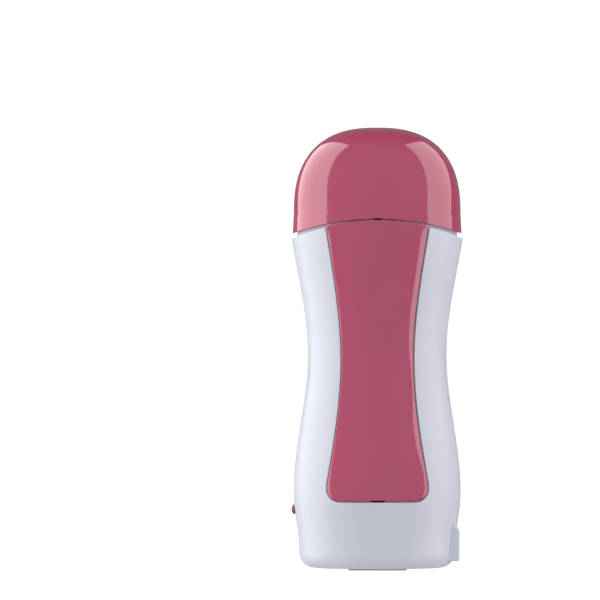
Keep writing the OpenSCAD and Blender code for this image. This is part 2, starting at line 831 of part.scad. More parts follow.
module sleeve_seat() {
    grow = sleeve_wall + fit_gap + seat_rim_wall;
    color(grey) difference() {
        translate([0, 0, post_top_z]) bay_solid(grow, seat_plate_t + seat_rim_h);
        translate([0, 0, bay_floor_z]) bay_solid(sleeve_wall + fit_gap, seat_rim_h + past);
        at_posts() {
            translate([0, 0, post_top_z - past])
                cylinder(d = seat_screw_d + 2 * head_gap, h = seat_plate_t + 2 * past);
            translate([0, 0, bay_floor_z - seat_head_h])
                cylinder(d = seat_head_d + 2 * head_gap, h = seat_head_h + past);
        }
    }
}

module seat_screws() {
    foot = post_top_z - seat_screw_l + thread_end;
    color(steel) at_posts() {
        translate([0, 0, foot]) cylinder(d = seat_screw_d, h = bay_floor_z - seat_head_h - foot);
        difference() {
            translate([0, 0, bay_floor_z - seat_head_h]) cylinder(d = seat_head_d, h = seat_head_h);
            for (a = [0, 90]) translate([0, 0, bay_floor_z]) rotate(a)
                cube([seat_head_d * drive_reach, drive_w, seat_head_h], center = true);
        }
    }
}

sleeve_top_z = deck_z - deck_t - fit_gap;

module heating_sleeve() {
    color(aluminium) translate([0, 0, bay_floor_z]) difference() {
        bay_solid(sleeve_wall, sleeve_top_z - bay_floor_z);
        translate([0, 0, -past]) bay_solid(0, sleeve_top_z - bay_floor_z + 2 * past);
    }
}

// ---- heater and its safety parts, all on the sleeve's flat back ----

heater_z = bay_floor_z + heater_rise;
thermostat_z = bay_floor_z + thermostat_rise;

module heater_plate() {
    color(ceramic) translate([-heater_w / 2, back_y, heater_z]) cube([heater_w, heater_t, heater_h]);
}

module heater_felt() {
    color(felt) translate([-heater_w / 2, back_y + heater_t, heater_z])
        cube([heater_w, felt_t, heater_h]);
}

band_inset = 6;                // of the outer bands from the heater plate's ends
heater_bands = [heater_z + band_inset, heater_z + heater_h - band_inset];
thermostat_band = thermostat_z + thermostat_h / 2;

// Outline of what a band holds against the sleeve, g outside it
module heater_bundle(g) {
    hull() {
        bay_outline(sleeve_wall + g);
        translate([-heater_w / 2 - g, 0]) square([heater_w + 2 * g, back_y + heater_t + felt_t + g]);
    }
}

module thermostat_bundle(g) {
    hull() {
        bay_outline(sleeve_wall + g);
        translate([thermostat_x - thermostat_w / 2 - g, 0])
            square([thermostat_w + g, back_y + thermostat_t + g]);
        translate([fuse_x, back_y + fuse_d / 2]) circle(d = fuse_d + 2 * g, $fn = 32);
    }
}

module clamp_bands() {
    color(steel) {
        for (z = heater_bands) translate([0, 0, z - band_h / 2])
            linear_extrude(height = band_h) difference() {
                heater_bundle(clamp_gap + band_t);
                heater_bundle(clamp_gap);
            }
        translate([0, 0, thermostat_band - band_h / 2])
            linear_extrude(height = band_h) difference() {
                thermostat_bundle(clamp_gap + band_t);
                thermostat_bundle(clamp_gap);
            }
    }
}

module thermostat() {
    color(black) translate([thermostat_x - thermostat_w / 2, back_y, thermostat_z])
        cube([thermostat_w, thermostat_t, thermostat_h]);
}

fuse_z = thermostat_z;
fuse_edge = 0.6;
fuse_nose_l = 1.5;
fuse_nose_d = 1.4;

module thermal_fuse() {
    color(white) translate([fuse_x, back_y + fuse_d / 2, fuse_z]) rotate_extrude() polygon([
        [0, 0], [fuse_d / 2 - fuse_edge, 0], [fuse_d / 2, fuse_edge],
        [fuse_d / 2, fuse_l - fuse_nose_l], [fuse_nose_d / 2, fuse_l], [0, fuse_l]]);
}

// ---- mains inlet ----

inlet_floor_t = 2;             // moulding behind the opening
inlet_back_x = inlet_face_x - inlet_open_l - inlet_floor_t;
pin_root_d = pin_d + 0.4;      // where a pin passes through the moulding
pin_tip = 0.4;                 // chamfer at a pin's tip
tab_x = inlet_back_x - 4;
tab_w = 4.8;
tab_t = 0.8;

module inlet_body() {
    r = inlet_open_h / 2;
    color(black) difference() {
        union() {
            inlet_block(inlet_back_x, inlet_face_x, 0);
            inlet_block(inlet_pad_x - inlet_flange_t, inlet_pad_x, inlet_flange_grow);
        }
        for (sy = [-1, 1])
            translate([inlet_face_x - inlet_open_l, sy * (inlet_open_w / 2 - r), inlet_z])
                rotate([0, 90, 0]) cylinder(r = r, h = inlet_open_l + past);
        translate([inlet_face_x - inlet_open_l, -inlet_open_w / 2 + r, inlet_z - inlet_neck_h / 2])
            cube([inlet_open_l + past, inlet_open_w - 2 * r, inlet_neck_h]);
        for (sy = [-1, 1]) translate([inlet_back_x - past, sy * pin_pitch / 2, inlet_z])
            rotate([0, 90, 0])
                cylinder(d = pin_root_d + 2 * thread_gap, h = inlet_floor_t + 2 * past);
    }
}

pin_l = inlet_face_x - pin_recess - pin_tip - inlet_back_x;

module inlet_pins() {
    color(brass) for (sy = [-1, 1]) translate([0, sy * pin_pitch / 2, inlet_z]) {
        translate([inlet_back_x, 0, 0]) rotate([0, 90, 0]) {
            cylinder(d = pin_root_d, h = inlet_floor_t);
            cylinder(d = pin_d, h = pin_l);
            translate([0, 0, pin_l]) cylinder(d1 = pin_d, d2 = pin_d - 2 * pin_tip, h = pin_tip);
        }
        translate([tab_x, -tab_t / 2, -tab_w / 2])
            cube([inlet_back_x - tab_x + skin, tab_t, tab_w]);
    }
}

connector_l = 9;
connector_w = 3.4;
connector_h = 6.8;
connector_gap = 0.1;           // around a pin's tab
connector_x = inlet_back_x - 0.5 - connector_l;

module pin_connectors() {
    color(black) for (sy = [-1, 1]) difference() {
        translate([connector_x, sy * pin_pitch / 2 - connector_w / 2, inlet_z - connector_h / 2])
            cube([connector_l, connector_w, connector_h]);
        translate([tab_x - connector_gap, sy * pin_pitch / 2 - tab_t / 2 - connector_gap,
                   inlet_z - tab_w / 2 - connector_gap])
            cube([connector_l, tab_t + 2 * connector_gap, tab_w + 2 * connector_gap]);
    }
}

// ---- indicator ----

lens_out_x = body_r(lens_z) + lens_proud;
lens_flange_t = 1.2;
lens_flange_d = 7.6;
lens_stem_d = 6;
lamp_gap = 0.1;
lens_front_t = 2.6;
lens_stem_l = 6;

module indicator_lens() {
    r = lens_d / 2;
    color(amber) translate([0, 0, lens_z]) rotate([0, -90, 0]) difference() {
        union() {
            translate([0, 0, lens_pad_x - lens_flange_t]) cylinder(d = lens_flange_d, h = lens_flange_t);
            translate([0, 0, lens_pad_x - lens_flange_t - lens_stem_l])
                cylinder(d = lens_stem_d, h = lens_stem_l + lens_flange_t);
            translate([0, 0, lens_pad_x - skin]) rotate_extrude() polygon(concat(
                [[0, 0], [r, 0]],
                [for (a = [0 : 15 : 90]) [r * cos(a), lens_out_x - lens_pad_x - lens_proud
                    + (lens_proud + skin) * sin(a)]]));
        }
        translate([0, 0, lens_pad_x - lens_flange_t - lens_stem_l - past])
            cylinder(d = lamp_d + 2 * lamp_gap, h = lens_out_x - lens_front_t
                     - lens_pad_x + lens_flange_t + lens_stem_l + past);
    }
}

lamp_x = lens_out_x - lens_front_t - lamp_gap - lamp_l;

module neon_lamp() {
    r = lamp_d / 2;
    color(glass) translate([0, 0, lens_z]) rotate([0, -90, 0]) translate([0, 0, lamp_x])
        rotate_extrude() polygon(concat([[0, 0], [r, 0]],
            [for (a = [0 : 15 : 90]) [r * cos(a), lamp_l - r + r * sin(a)]]));
}

resistor_x = -14;
resistor_z = 22;
resistor_l = 6.5;
resistor_d = 2.4;
resistor_end_l = 1.4;          // of the thicker ends
resistor_edge = 0.3;

module lamp_resistor() {
    r = resistor_d / 2;
    e = resistor_edge;
    color(tan_coat) translate([resistor_x, 0, resistor_z]) rotate([0, 90, 0])
        rotate_extrude() polygon([[0, 0], [r - e, 0], [r, e], [r, resistor_end_l],
            [r - e, resistor_end_l + e], [r - e, resistor_l - resistor_end_l - e],
            [r, resistor_l - resistor_end_l], [r, resistor_l - e], [r - e, resistor_l],
            [0, resistor_l]]);
}

// ---- leads: round tubes along a smooth line through chosen points ----

lead_d = 1.6;
thin_lead_d = 1.2;
lead_sides = 8;
bend_steps = 4;

function unit(v) = v / norm(v);

// Catmull-Rom point between p1 and p2
function spline_at(p0, p1, p2, p3, t) =
    0.5 * (2 * p1 + (p2 - p0) * t + (2*p0 - 5*p1 + 4*p2 - p3) * t*t
           + (3*p1 - p0 - 3*p2 + p3) * t*t*t);

function smooth_line(p) = concat(
    [for (i = [0 : len(p) - 2], k = [0 : bend_steps - 1])
        spline_at(p[max(i - 1, 0)], p[i], p[i + 1], p[min(i + 2, len(p) - 1)], k / bend_steps)],
    [p[len(p) - 1]]);

// Tube of diameter d along the points; side is a direction that the line never follows
module lead(points, d, side) {
    line = smooth_line(points);
    n = len(line);
    along = [for (i = [0 : n - 1]) unit(line[min(i + 1, n - 1)] - line[max(i - 1, 0)])];
    rings = [for (i = [0 : n - 1]) let (u = unit(cross(along[i], side)), v = cross(along[i], u))
        for (k = [0 : lead_sides - 1])
            line[i] + d / 2 * (cos(360 * k / lead_sides) * u + sin(360 * k / lead_sides) * v)];
    walls = [for (i = [0 : n - 2], k = [0 : lead_sides - 1]) let (
        a = i * lead_sides + k, b = i * lead_sides + (k + 1) % lead_sides)
        for (f = [[a, a + lead_sides, b + lead_sides], [a, b + lead_sides, b]]) f];
    ends = [[for (k = [0 : lead_sides - 1]) k],
            [for (k = [lead_sides - 1 : -1 : 0]) (n - 1) * lead_sides + k]];
    polyhedron(points = rings, faces = concat(walls, ends));
}

lead_rise = 1.7;               // of a lead's place on its connector, from the pin's height
lead_gap = 0.15;               // between a lead's end and what it is joined to
lead_start = 3;                // straight run from a connector or a lamp
terminal_x = 2;                // of each thermostat terminal from its middle
heater_terminal_x = 7;
riser_gap = 4.2;
riser_drop = 6;
riser_y = back_y + riser_gap;  // plane in which the leads rise behind the sleeve
riser_z = post_top_z - riser_drop;
heater_run = 12;               // height in which the neutral lead reaches the heater
lamp_lead_y = -5;
between_posts = (post_x - post_d / 2) / 2;
heater_mid_y = back_y + heater_t / 2;
thermostat_mid_y = back_y + thermostat_t / 2;
fuse_mid_y = back_y + fuse_d / 2;

module lead_live() {
    y = pin_pitch / 2;
    z = inlet_z - lead_rise;
    x = thermostat_x - terminal_x;
    color(black) lead([[connector_x - lead_gap, y, z], [connector_x - lead_start, y, z],
        [between_posts, between_posts, inlet_z], [0, riser_y * 0.7, post_top_z / 2],
        [thermostat_x / 2, riser_y, riser_z], [thermostat_x * 0.75, riser_y, bay_floor_z],
        [x, thermostat_mid_y + 0.6, thermostat_z - 2.5],
        [x, thermostat_mid_y, thermostat_z - lead_gap]], lead_d, [1, 0.3, 0]);
}

module lead_link() {
    x = thermostat_x + terminal_x;
    color(black) lead([[x, thermostat_mid_y, thermostat_z - lead_gap],
        [x, thermostat_mid_y, thermostat_z - 1.2],
        [(x + fuse_x) / 2, fuse_mid_y + 1, thermostat_z - 2.6],
        [fuse_x, fuse_mid_y, fuse_z - 1.2], [fuse_x, fuse_mid_y, fuse_z - lead_gap]],
        thin_lead_d, [0, 1, 0]);
}

module lead_fuse() {
    foot = fuse_z + fuse_l + lead_gap;
    top = heater_z - lead_gap;
    straight = (top - foot) / 4;
    color(black) lead([[fuse_x, fuse_mid_y, foot], [fuse_x, fuse_mid_y, foot + straight],
        [fuse_x, heater_mid_y, top - straight], [fuse_x, heater_mid_y, top]],
        thin_lead_d, [1, 0, 0]);
}

module lead_neutral() {
    y = -pin_pitch / 2;
    z = inlet_z + lead_rise;
    x = heater_terminal_x;
    color(black) lead([[connector_x - lead_gap, y, z], [connector_x - lead_start, y, z],
        [between_posts * 1.3, 3, post_top_z * 0.45], [between_posts, riser_y * 0.6, riser_z * 0.75],
        [between_posts, riser_y, riser_z], [x, riser_y, bay_floor_z + riser_drop],
        [x, riser_y + 0.5, heater_z - heater_run], [x, heater_mid_y, heater_z - 2],
        [x, heater_mid_y, heater_z - lead_gap]], lead_d, [1, 0.3, 0]);
}

module lead_lamp_a() {
    color(black) lead([[lead_gap - lamp_x, 1, lens_z], [lead_start - lamp_x, 1, lens_z],
        [resistor_x - lead_start, 0, resistor_z], [resistor_x - lead_gap, 0, resistor_z]],
        thin_lead_d, [0, 0, 1]);
}

module lead_lamp_b() {
    foot = resistor_x + resistor_l;
    y = pin_pitch / 2;
    z = inlet_z + lead_rise;
    color(black) lead([[foot + lead_gap, 0, resistor_z], [foot + lead_start, 0, resistor_z],
        [between_posts / 2, 3, resistor_z * 0.8], [connector_x - lead_start, y, z],
        [connector_x - lead_gap, y, z]], thin_lead_d, [0, 1, 0]);
}

module lead_lamp_c() {
    y = -pin_pitch / 2;
    z = inlet_z - lead_rise;
    color(black) lead([[lead_gap - lamp_x, -1, lens_z], [lead_start - lamp_x, -1.5, lens_z],
        [resistor_x, lamp_lead_y, resistor_z + 1], [0, lamp_lead_y - 1, resistor_z * 0.65],
        [connector_x - lead_start, y, z], [connector_x - lead_gap, y, z]],
        thin_lead_d, [0, 1, 0]);
}

housing();
rear_cover();
rear_cover_screws();
front_panel();
neck_collar();
cap();
foot_pads();
sleeve_seat();
seat_screws();
heating_sleeve();
heater_plate();
heater_felt();
clamp_bands();
thermostat();
thermal_fuse();
inlet_body();
inlet_pins();
pin_connectors();
indicator_lens();
neon_lamp();
lamp_resistor();
lead_live();
lead_link();
lead_fuse();
lead_neutral();
lead_lamp_a();
lead_lamp_b();
lead_lamp_c();
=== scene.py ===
import json
import math

import bmesh
import bpy
from mathutils import Matrix, Vector


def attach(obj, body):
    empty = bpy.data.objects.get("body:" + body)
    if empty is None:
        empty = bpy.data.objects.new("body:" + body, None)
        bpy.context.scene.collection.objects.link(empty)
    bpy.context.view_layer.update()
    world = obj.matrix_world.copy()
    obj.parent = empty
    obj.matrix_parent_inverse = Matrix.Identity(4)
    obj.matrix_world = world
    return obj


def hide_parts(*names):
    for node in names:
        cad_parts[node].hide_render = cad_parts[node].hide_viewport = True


# Roll-on wax heater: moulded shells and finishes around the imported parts.
# Shapes are worked out in millimetres and brought to metres when a piece is finished.

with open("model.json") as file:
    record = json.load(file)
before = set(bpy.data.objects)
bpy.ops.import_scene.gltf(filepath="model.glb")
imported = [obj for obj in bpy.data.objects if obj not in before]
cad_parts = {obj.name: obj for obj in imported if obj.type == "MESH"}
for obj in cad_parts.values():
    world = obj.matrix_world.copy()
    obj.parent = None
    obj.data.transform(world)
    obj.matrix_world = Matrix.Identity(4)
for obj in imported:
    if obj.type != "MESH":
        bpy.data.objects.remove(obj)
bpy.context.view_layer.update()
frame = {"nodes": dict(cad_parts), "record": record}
mm = 0.001
cornerAngle = 38               # degrees past which a corner stays crisp
weld = 0.002                   # millimetres within which the points of a sheet are one

view = {
    "aim": (-0.0358, 0.0, 0.125),
    "distance": 4.0,
    "above": 0.3,              # degrees over the horizon
    "lens": 517.2,
    "near": 0.01,
}


def makeCamera():
    camera = bpy.data.objects.new("camera", bpy.data.cameras.new("camera"))
    bpy.context.scene.collection.objects.link(camera)
    camera.data.lens = view["lens"]
    camera.data.clip_start = view["near"]
    tilt = math.radians(view["above"])
    away = Vector((0, -math.cos(tilt), math.sin(tilt)))
    camera.location = Vector(view["aim"]) + away * view["distance"]
    camera.rotation_euler = (-away).to_track_quat("-Z", "Y").to_euler()
    bpy.context.scene.camera = camera


def solidOf(bm, name):
    mesh = bpy.data.meshes.new(name)
    bm.to_mesh(mesh)
    bm.free()
    piece = bpy.data.objects.new(name, mesh)
    bpy.context.scene.collection.objects.link(piece)
    return piece


paper = {"radius": 1.5, "sides": 96, "colour": (0.6, 0.6, 0.6), "roughness": 0.9, "glow": 0.9}


def makeFloor():
    bm = bmesh.new()
    bmesh.ops.create_circle(bm, cap_ends=True, segments=paper["sides"], radius=paper["radius"])
    floor = solidOf(bm, "floor")
    paint = bpy.data.materials.new("paperWhite")
    paint.use_nodes = True
    shader = paint.node_tree.nodes["Principled BSDF"]
    shader.inputs["Base Color"].default_value = (*paper["colour"], 1)
    shader.inputs["Roughness"].default_value = paper["roughness"]
    shader.inputs["Specular IOR Level"].default_value = 0.0
    shader.inputs["Emission Color"].default_value = (1, 1, 1, 1)
    shader.inputs["Emission Strength"].default_value = paper["glow"]
    floor.data.materials.append(paint)
    # The paper throws no light back and lets the boxes shine from below its level
    floor.visible_diffuse = False
    floor.visible_glossy = False
    floor.visible_shadow = False


softBox = {
    # name, side, radiance, colour and how much narrower it is at the back edge
    "pair": [("leftBox", -1, 2.05, (0.98, 1, 0.94), 0),
             ("rightBox", 1, 1.6, (1, 0.99, 0.97), 0.4)],
    "round": 100,              # degrees from the front, up, and leaning back
    "up": 20,
    "lean": 30,
    "size": (1.37, 2.23),      # width, height and shift along it, as shares of the distance
    "shift": -0.235,
    "distance": 0.8,
    "from": 0.18,              # height of the point that the distance is taken from
}


def makeBoxes():
    reach = softBox["distance"]
    turn, rise = math.radians(softBox["round"]), math.radians(softBox["up"])
    wide, tall = softBox["size"]
    for name, side, radiance, colour, trim in softBox["pair"]:
        away = Vector((side * math.sin(turn) * math.cos(rise),
                       -math.cos(turn) * math.cos(rise), math.sin(rise)))
        level = Vector((0, 0, 1)).cross(away).normalized()
        lean = Matrix.Rotation(math.radians(softBox["lean"]) * -side, 3, away)
        along = lean @ away.cross(level)
        across = along.cross(away)
        light = bpy.data.lights.new(name, "AREA")
        light.shape = "RECTANGLE"
        light.size, light.size_y = (wide - trim) * reach, tall * reach
        light.energy = radiance * math.pi * light.size * light.size_y
        light.color = colour
        box = bpy.data.objects.new(name, light)
        bpy.context.scene.collection.objects.link(box)
        facing = Matrix((across, along, away)).transposed().to_4x4()
        shift = along * softBox["shift"] - across * side * trim / 2
        place = Vector((0, 0, softBox["from"])) + (away + shift) * reach
        box.matrix_world = Matrix.Translation(place) @ facing


sky = {
    "front": (0, -0.97, 0.25),
    "fade": (-0.3, 0.9),
    "strength": (0.2, 0.75),   # behind and in front
    "underFade": (0, 0.3),
    "underStrength": (0, 0.6),     # light that comes up from the paper
    "colour": (0.96, 0.97, 1),
    "backdrop": 1.1,           # strength of the white that the camera sees
}


def makeSky():
    world = bpy.data.worlds.new("studio")
    bpy.context.scene.world = world
    world.use_nodes = True
    nodes, links = world.node_tree.nodes, world.node_tree.links
    nodes.clear()
    place = nodes.new("ShaderNodeTexCoord")

    def gradient(way, fade, strength):
        facing = nodes.new("ShaderNodeVectorMath")
        facing.operation = "DOT_PRODUCT"
        facing.inputs[1].default_value = way
        spread = nodes.new("ShaderNodeMapRange")
        spread.interpolation_type = "SMOOTHSTEP"
        for socket, value in zip(("From Min", "From Max", "To Min", "To Max"), (*fade, *strength)):
            spread.inputs[socket].default_value = value
        links.new(place.outputs["Generated"], facing.inputs[0])
        links.new(facing.outputs["Value"], spread.inputs["Value"])
        return spread.outputs["Result"]

    brighter = nodes.new("ShaderNodeMath")
    brighter.operation = "MAXIMUM"
    links.new(gradient(sky["front"], sky["fade"], sky["strength"]), brighter.inputs[0])
    links.new(gradient((0, 0, -1), sky["underFade"], sky["underStrength"]), brighter.inputs[1])
    glow = nodes.new("ShaderNodeBackground")
    glow.inputs["Color"].default_value = (*sky["colour"], 1)
    backdrop = nodes.new("ShaderNodeBackground")
    backdrop.inputs["Color"].default_value = (1, 1, 1, 1)
    backdrop.inputs["Strength"].default_value = sky["backdrop"]
    ray = nodes.new("ShaderNodeLightPath")
    mix = nodes.new("ShaderNodeMixShader")
    out = nodes.new("ShaderNodeOutputWorld")
    links.new(brighter.outputs[0], glow.inputs["Strength"])
    links.new(ray.outputs["Is Camera Ray"], mix.inputs["Fac"])
    links.new(glow.outputs[0], mix.inputs[1])
    links.new(backdrop.outputs[0], mix.inputs[2])
    links.new(mix.outputs[0], out.inputs["Surface"])


makeCamera()
makeFloor()
makeBoxes()
makeSky()
bpy.context.scene.view_settings.view_transform = "Standard"
print("camera, floor and light are set")


class Finish:
    # A Principled material with helpers that hang noise on its sockets

    def __init__(self, name, **sockets):
        self.material = bpy.data.materials.new(name)
        self.material.use_nodes = True
        self.tree = self.material.node_tree
        self.shader = self.tree.nodes["Principled BSDF"]
        self.place = self.tree.nodes.new("ShaderNodeTexCoord")
        self.height = None
        for socket, value in sockets.items():
            value = (*value, 1) if isinstance(value, tuple) and len(value) == 3 else value
            self.shader.inputs[socket.replace("_", " ")].default_value = value

    def noise(self, size, detail=2.0, stretch=(1, 1, 1)):
        # size is how wide a patch is, in millimetres; detail adds finer patches in it
        mapping = self.tree.nodes.new("ShaderNodeMapping")
        mapping.inputs["Scale"].default_value = stretch
        self.tree.links.new(self.place.outputs["Object"], mapping.inputs["Vector"])
        node = self.tree.nodes.new("ShaderNodeTexNoise")
        node.inputs["Scale"].default_value = 1 / (size * mm)
        node.inputs["Detail"].default_value = detail
        self.tree.links.new(mapping.outputs["Vector"], node.inputs["Vector"])
        return node.outputs["Fac"]

    def ranged(self, value, low, high):
        node = self.tree.nodes.new("ShaderNodeMapRange")
        node.inputs["From Min"].default_value = 0.2
        node.inputs["From Max"].default_value = 0.8
        node.inputs["To Min"].default_value = low
        node.inputs["To Max"].default_value = high
        self.tree.links.new(value, node.inputs["Value"])
        return node.outputs["Result"]

    def colours(self, value, low, high):
        node = self.tree.nodes.new("ShaderNodeMix")
        node.data_type = "RGBA"
        node.inputs[6].default_value = (*low, 1)
        node.inputs[7].default_value = (*high, 1)
        self.tree.links.new(self.ranged(value, 0, 1), node.inputs[0])
        self.tree.links.new(node.outputs[2], self.shader.inputs["Base Color"])

    def roughness(self, value, low, high):
        self.tree.links.new(self.ranged(value, low, high), self.shader.inputs["Roughness"])

    def bump(self, value, strength, depth):
        # depth is the height of the bumps, in millimetres
        node = self.tree.nodes.new("ShaderNodeBump")
        node.inputs["Strength"].default_value = strength
        node.inputs["Distance"].default_value = depth * mm
        self.tree.links.new(value, node.inputs["Height"])
        if self.height:
            self.tree.links.new(self.height, node.inputs["Normal"])
        self.height = node.outputs["Normal"]
        self.tree.links.new(self.height, self.shader.inputs["Normal"])


def tinted(colour, factor):
    return tuple(min(part * factor, 1) for part in colour)


def glossyPlastic(name, colour):
    finish = Finish(name, IOR=1.5, Coat_Weight=1.0, Coat_Roughness=0.03)
    finish.colours(finish.noise(26, 3), tinted(colour, 0.96), tinted(colour, 1.04))
    finish.roughness(finish.noise(3.5, 4), 0.09, 0.14)
    finish.bump(finish.noise(2.4, 1), 0.1, 0.02)      # flow of the moulding
    finish.bump(finish.noise(0.25, 3), 0.04, 0.004)
    return finish.material


def satinPlastic(name, colour, low, high, grain=0.12):
    # low and high are the limits of its roughness
    finish = Finish(name, IOR=1.49)
    finish.colours(finish.noise(30, 3), tinted(colour, 0.975), tinted(colour, 1.02))
    finish.roughness(finish.noise(9, 2), low, high)
    finish.bump(finish.noise(3, 1), 0.08, 0.02)
    finish.bump(finish.noise(0.3, 3), grain, 0.01)    # fine spark texture of the mould
    return finish.material


def brushedMetal(name, colour, stretch, low, high):
    finish = Finish(name, Metallic=1.0)
    finish.colours(finish.noise(9, 3), tinted(colour, 0.93), tinted(colour, 1.05))
    lines = finish.noise(0.25, 4, stretch)            # marks of drawing and brushing
    finish.roughness(lines, low, high)
    finish.bump(lines, 0.25, 0.01)
    return finish.material


def bakedCeramic(name, colour):
    finish = Finish(name, IOR=1.6)
    finish.colours(finish.noise(2, 5), tinted(colour, 0.9), tinted(colour, 1.05))
    finish.roughness(finish.noise(0.8, 3), 0.55, 0.75)
    finish.bump(finish.noise(0.2, 4), 0.35, 0.02)
    return finish.material


def pressedFelt(name, colour):
    finish = Finish(name, Roughness=0.95, Sheen_Weight=0.4)
    finish.colours(finish.noise(0.7, 6), tinted(colour, 0.78), tinted(colour, 1.1))
    finish.bump(finish.noise(0.16, 6, (1, 1, 0.35)), 0.8, 0.12)
    return finish.material


def clearPlastic(name, colour, transmission, low, high):
    finish = Finish(name, IOR=1.49, Transmission_Weight=transmission, Coat_Weight=0.6)
    finish.colours(finish.noise(1.2, 3), tinted(colour, 0.8), tinted(colour, 1.2))
    finish.roughness(finish.noise(1.5, 3), low, high)
    finish.bump(finish.noise(1, 2), 0.08, 0.01)
    return finish.material


def rubber(name, colour):
    finish = Finish(name, IOR=1.5)
    finish.colours(finish.noise(3, 4), tinted(colour, 0.85), tinted(colour, 1.15))
    finish.roughness(finish.noise(1.2, 4), 0.62, 0.8)
    finish.bump(finish.noise(0.22, 4), 0.4, 0.02)
    return finish.material


white = (0.635, 0.64, 0.73)
rose = (0.44, 0.038, 0.112)
finishes = {
    "white_plastic": satinPlastic("satinWhite", white, 0.285, 0.35),
    "collar_plastic": satinPlastic("collarWhite", tinted(white, 1.03), 0.32, 0.42),
    "pink_plastic": glossyPlastic("roseGloss", rose),
    "screw_steel": brushedMetal("zincScrew", (0.6, 0.61, 0.63), (1, 1, 6), 0.28, 0.42),
    "foot_rubber": rubber("footRubber", (0.36, 0.36, 0.38)),
    "heat_plastic": satinPlastic("seatNylon", (0.13, 0.13, 0.14), 0.45, 0.6, 0.3),
    "sleeve_aluminium": brushedMetal("drawnAluminium", (0.86, 0.87, 0.88), (1, 1, 0.04), 0.29, 0.4),
    "heater_ceramic": bakedCeramic("heaterCeramic", (0.86, 0.84, 0.78)),
    "heater_felt": pressedFelt("heaterFelt", (0.72, 0.69, 0.6)),
    "band_steel": brushedMetal("springBand", (0.55, 0.56, 0.58), (0.05, 0.05, 1), 0.29, 0.4),
    "part_plastic": satinPlastic("darkPhenolic", (0.05, 0.05, 0.055), 0.35, 0.5, 0.25),
    "fuse_ceramic": bakedCeramic("fuseCeramic", (0.9, 0.89, 0.85)),
    "inlet_plastic": satinPlastic("inletWhite", tinted(white, 0.96), 0.36, 0.48, 0.2),
    "pin_brass": brushedMetal("pinBrass", (0.8, 0.63, 0.33), (0.05, 1, 1), 0.16, 0.26),
    "lens_plastic": clearPlastic("rubyLens", (0.24, 0.02, 0.022), 0.35, 0.06, 0.12),
    "lamp_glass": clearPlastic("lampGlass", (0.9, 0.88, 0.84), 0.9, 0.02, 0.05),
    "resistor_coat": satinPlastic("resistorCoat", (0.6, 0.46, 0.3), 0.3, 0.4),
    "lead_black": rubber("blackLead", (0.02, 0.02, 0.022)),
    "lead_blue": rubber("blueLead", (0.02, 0.07, 0.3)),
}
print("finishes are mixed:", len(finishes))


def applyAll(piece):
    # Gives a piece the mesh that its modifiers make
    graph = bpy.context.evaluated_depsgraph_get()
    old = piece.data
    piece.data = bpy.data.meshes.new_from_object(piece.evaluated_get(graph))
    piece.modifiers.clear()
    bpy.data.meshes.remove(old)


def combine(piece, bm, operation="DIFFERENCE", crossing=False):
    # Cuts by another solid or joins it; crossing is for a tool whose parts cross each other
    tool = solidOf(bm, "tool")
    step = piece.modifiers.new(operation, "BOOLEAN")
    step.operation = operation
    step.solver = "EXACT"
    step.use_self = crossing
    step.object = tool
    applyAll(piece)
    bpy.data.objects.remove(tool)


def finishPiece(piece, slotName, body, *nodes):
    # Millimetres to metres, smooth faces with crisp corners, finish, body and the nodes it stands for
    mesh = piece.data
    mesh.transform(Matrix.Scale(mm, 4))
    mesh.shade_smooth()
    mesh.set_sharp_from_angle(angle=math.radians(cornerAngle))
    even = piece.modifiers.new("even", "WEIGHTED_NORMAL")
    even.keep_sharp = True
    applyAll(piece)
    piece.data.materials.clear()
    piece.data.materials.append(finishes[slotName])
    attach(piece, body)
    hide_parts(*nodes)


def only(geometry, kind):
    return [part for part in geometry if isinstance(part, kind)]


def roundEdges(bm, edges, width, segments=3):
    bmesh.ops.bevel(bm, geom=edges, offset=width, offset_type="OFFSET", affect="EDGES",
                    segments=segments, profile=0.5, material=-1, clamp_overlap=True)


def sharpEdges(bm, turn=35):
    bm.normal_update()
    return [edge for edge in bm.edges
            if len(edge.link_faces) == 2 and edge.calc_face_angle() > math.radians(turn)]


def addBox(bm, low, high):
    size = [b - a for a, b in zip(low, high)]
    middle = [(a + b) / 2 for a, b in zip(low, high)]
    place = Matrix.Translation(middle) @ Matrix.Diagonal((*size, 1))
    return bmesh.ops.create_cube(bm, size=1, matrix=place)["verts"]


def addRod(bm, start, end, radius, endRadius=None, segments=32):
    start, end = Vector(start), Vector(end)
    along = end - start
    turn = along.to_track_quat("Z", "Y").to_matrix().to_4x4()
    made = bmesh.ops.create_cone(
        bm, cap_ends=True, segments=segments, radius1=radius,
        radius2=radius if endRadius is None else endRadius, depth=along.length,
        matrix=Matrix.Translation((start + end) / 2) @ turn)
    return made["verts"]


def spinProfile(bm, points, axisPoint, axis, out, segments=48):
    # Turns a line of (radius, height) points round an axis; out is where radius points
    axis, out = Vector(axis), Vector(out)
    verts = [bm.verts.new(Vector(axisPoint) + axis * h + out * r) for r, h in points]
    edges = [bm.edges.new(pair) for pair in zip(verts, verts[1:])]
    bmesh.ops.spin(bm, geom=verts + edges, cent=axisPoint, axis=axis, angle=math.tau,
                   steps=segments, use_merge=True, use_duplicate=False)
    bmesh.ops.remove_doubles(bm, verts=bm.verts, dist=0.0005)
    bmesh.ops.recalc_face_normals(bm, faces=bm.faces)


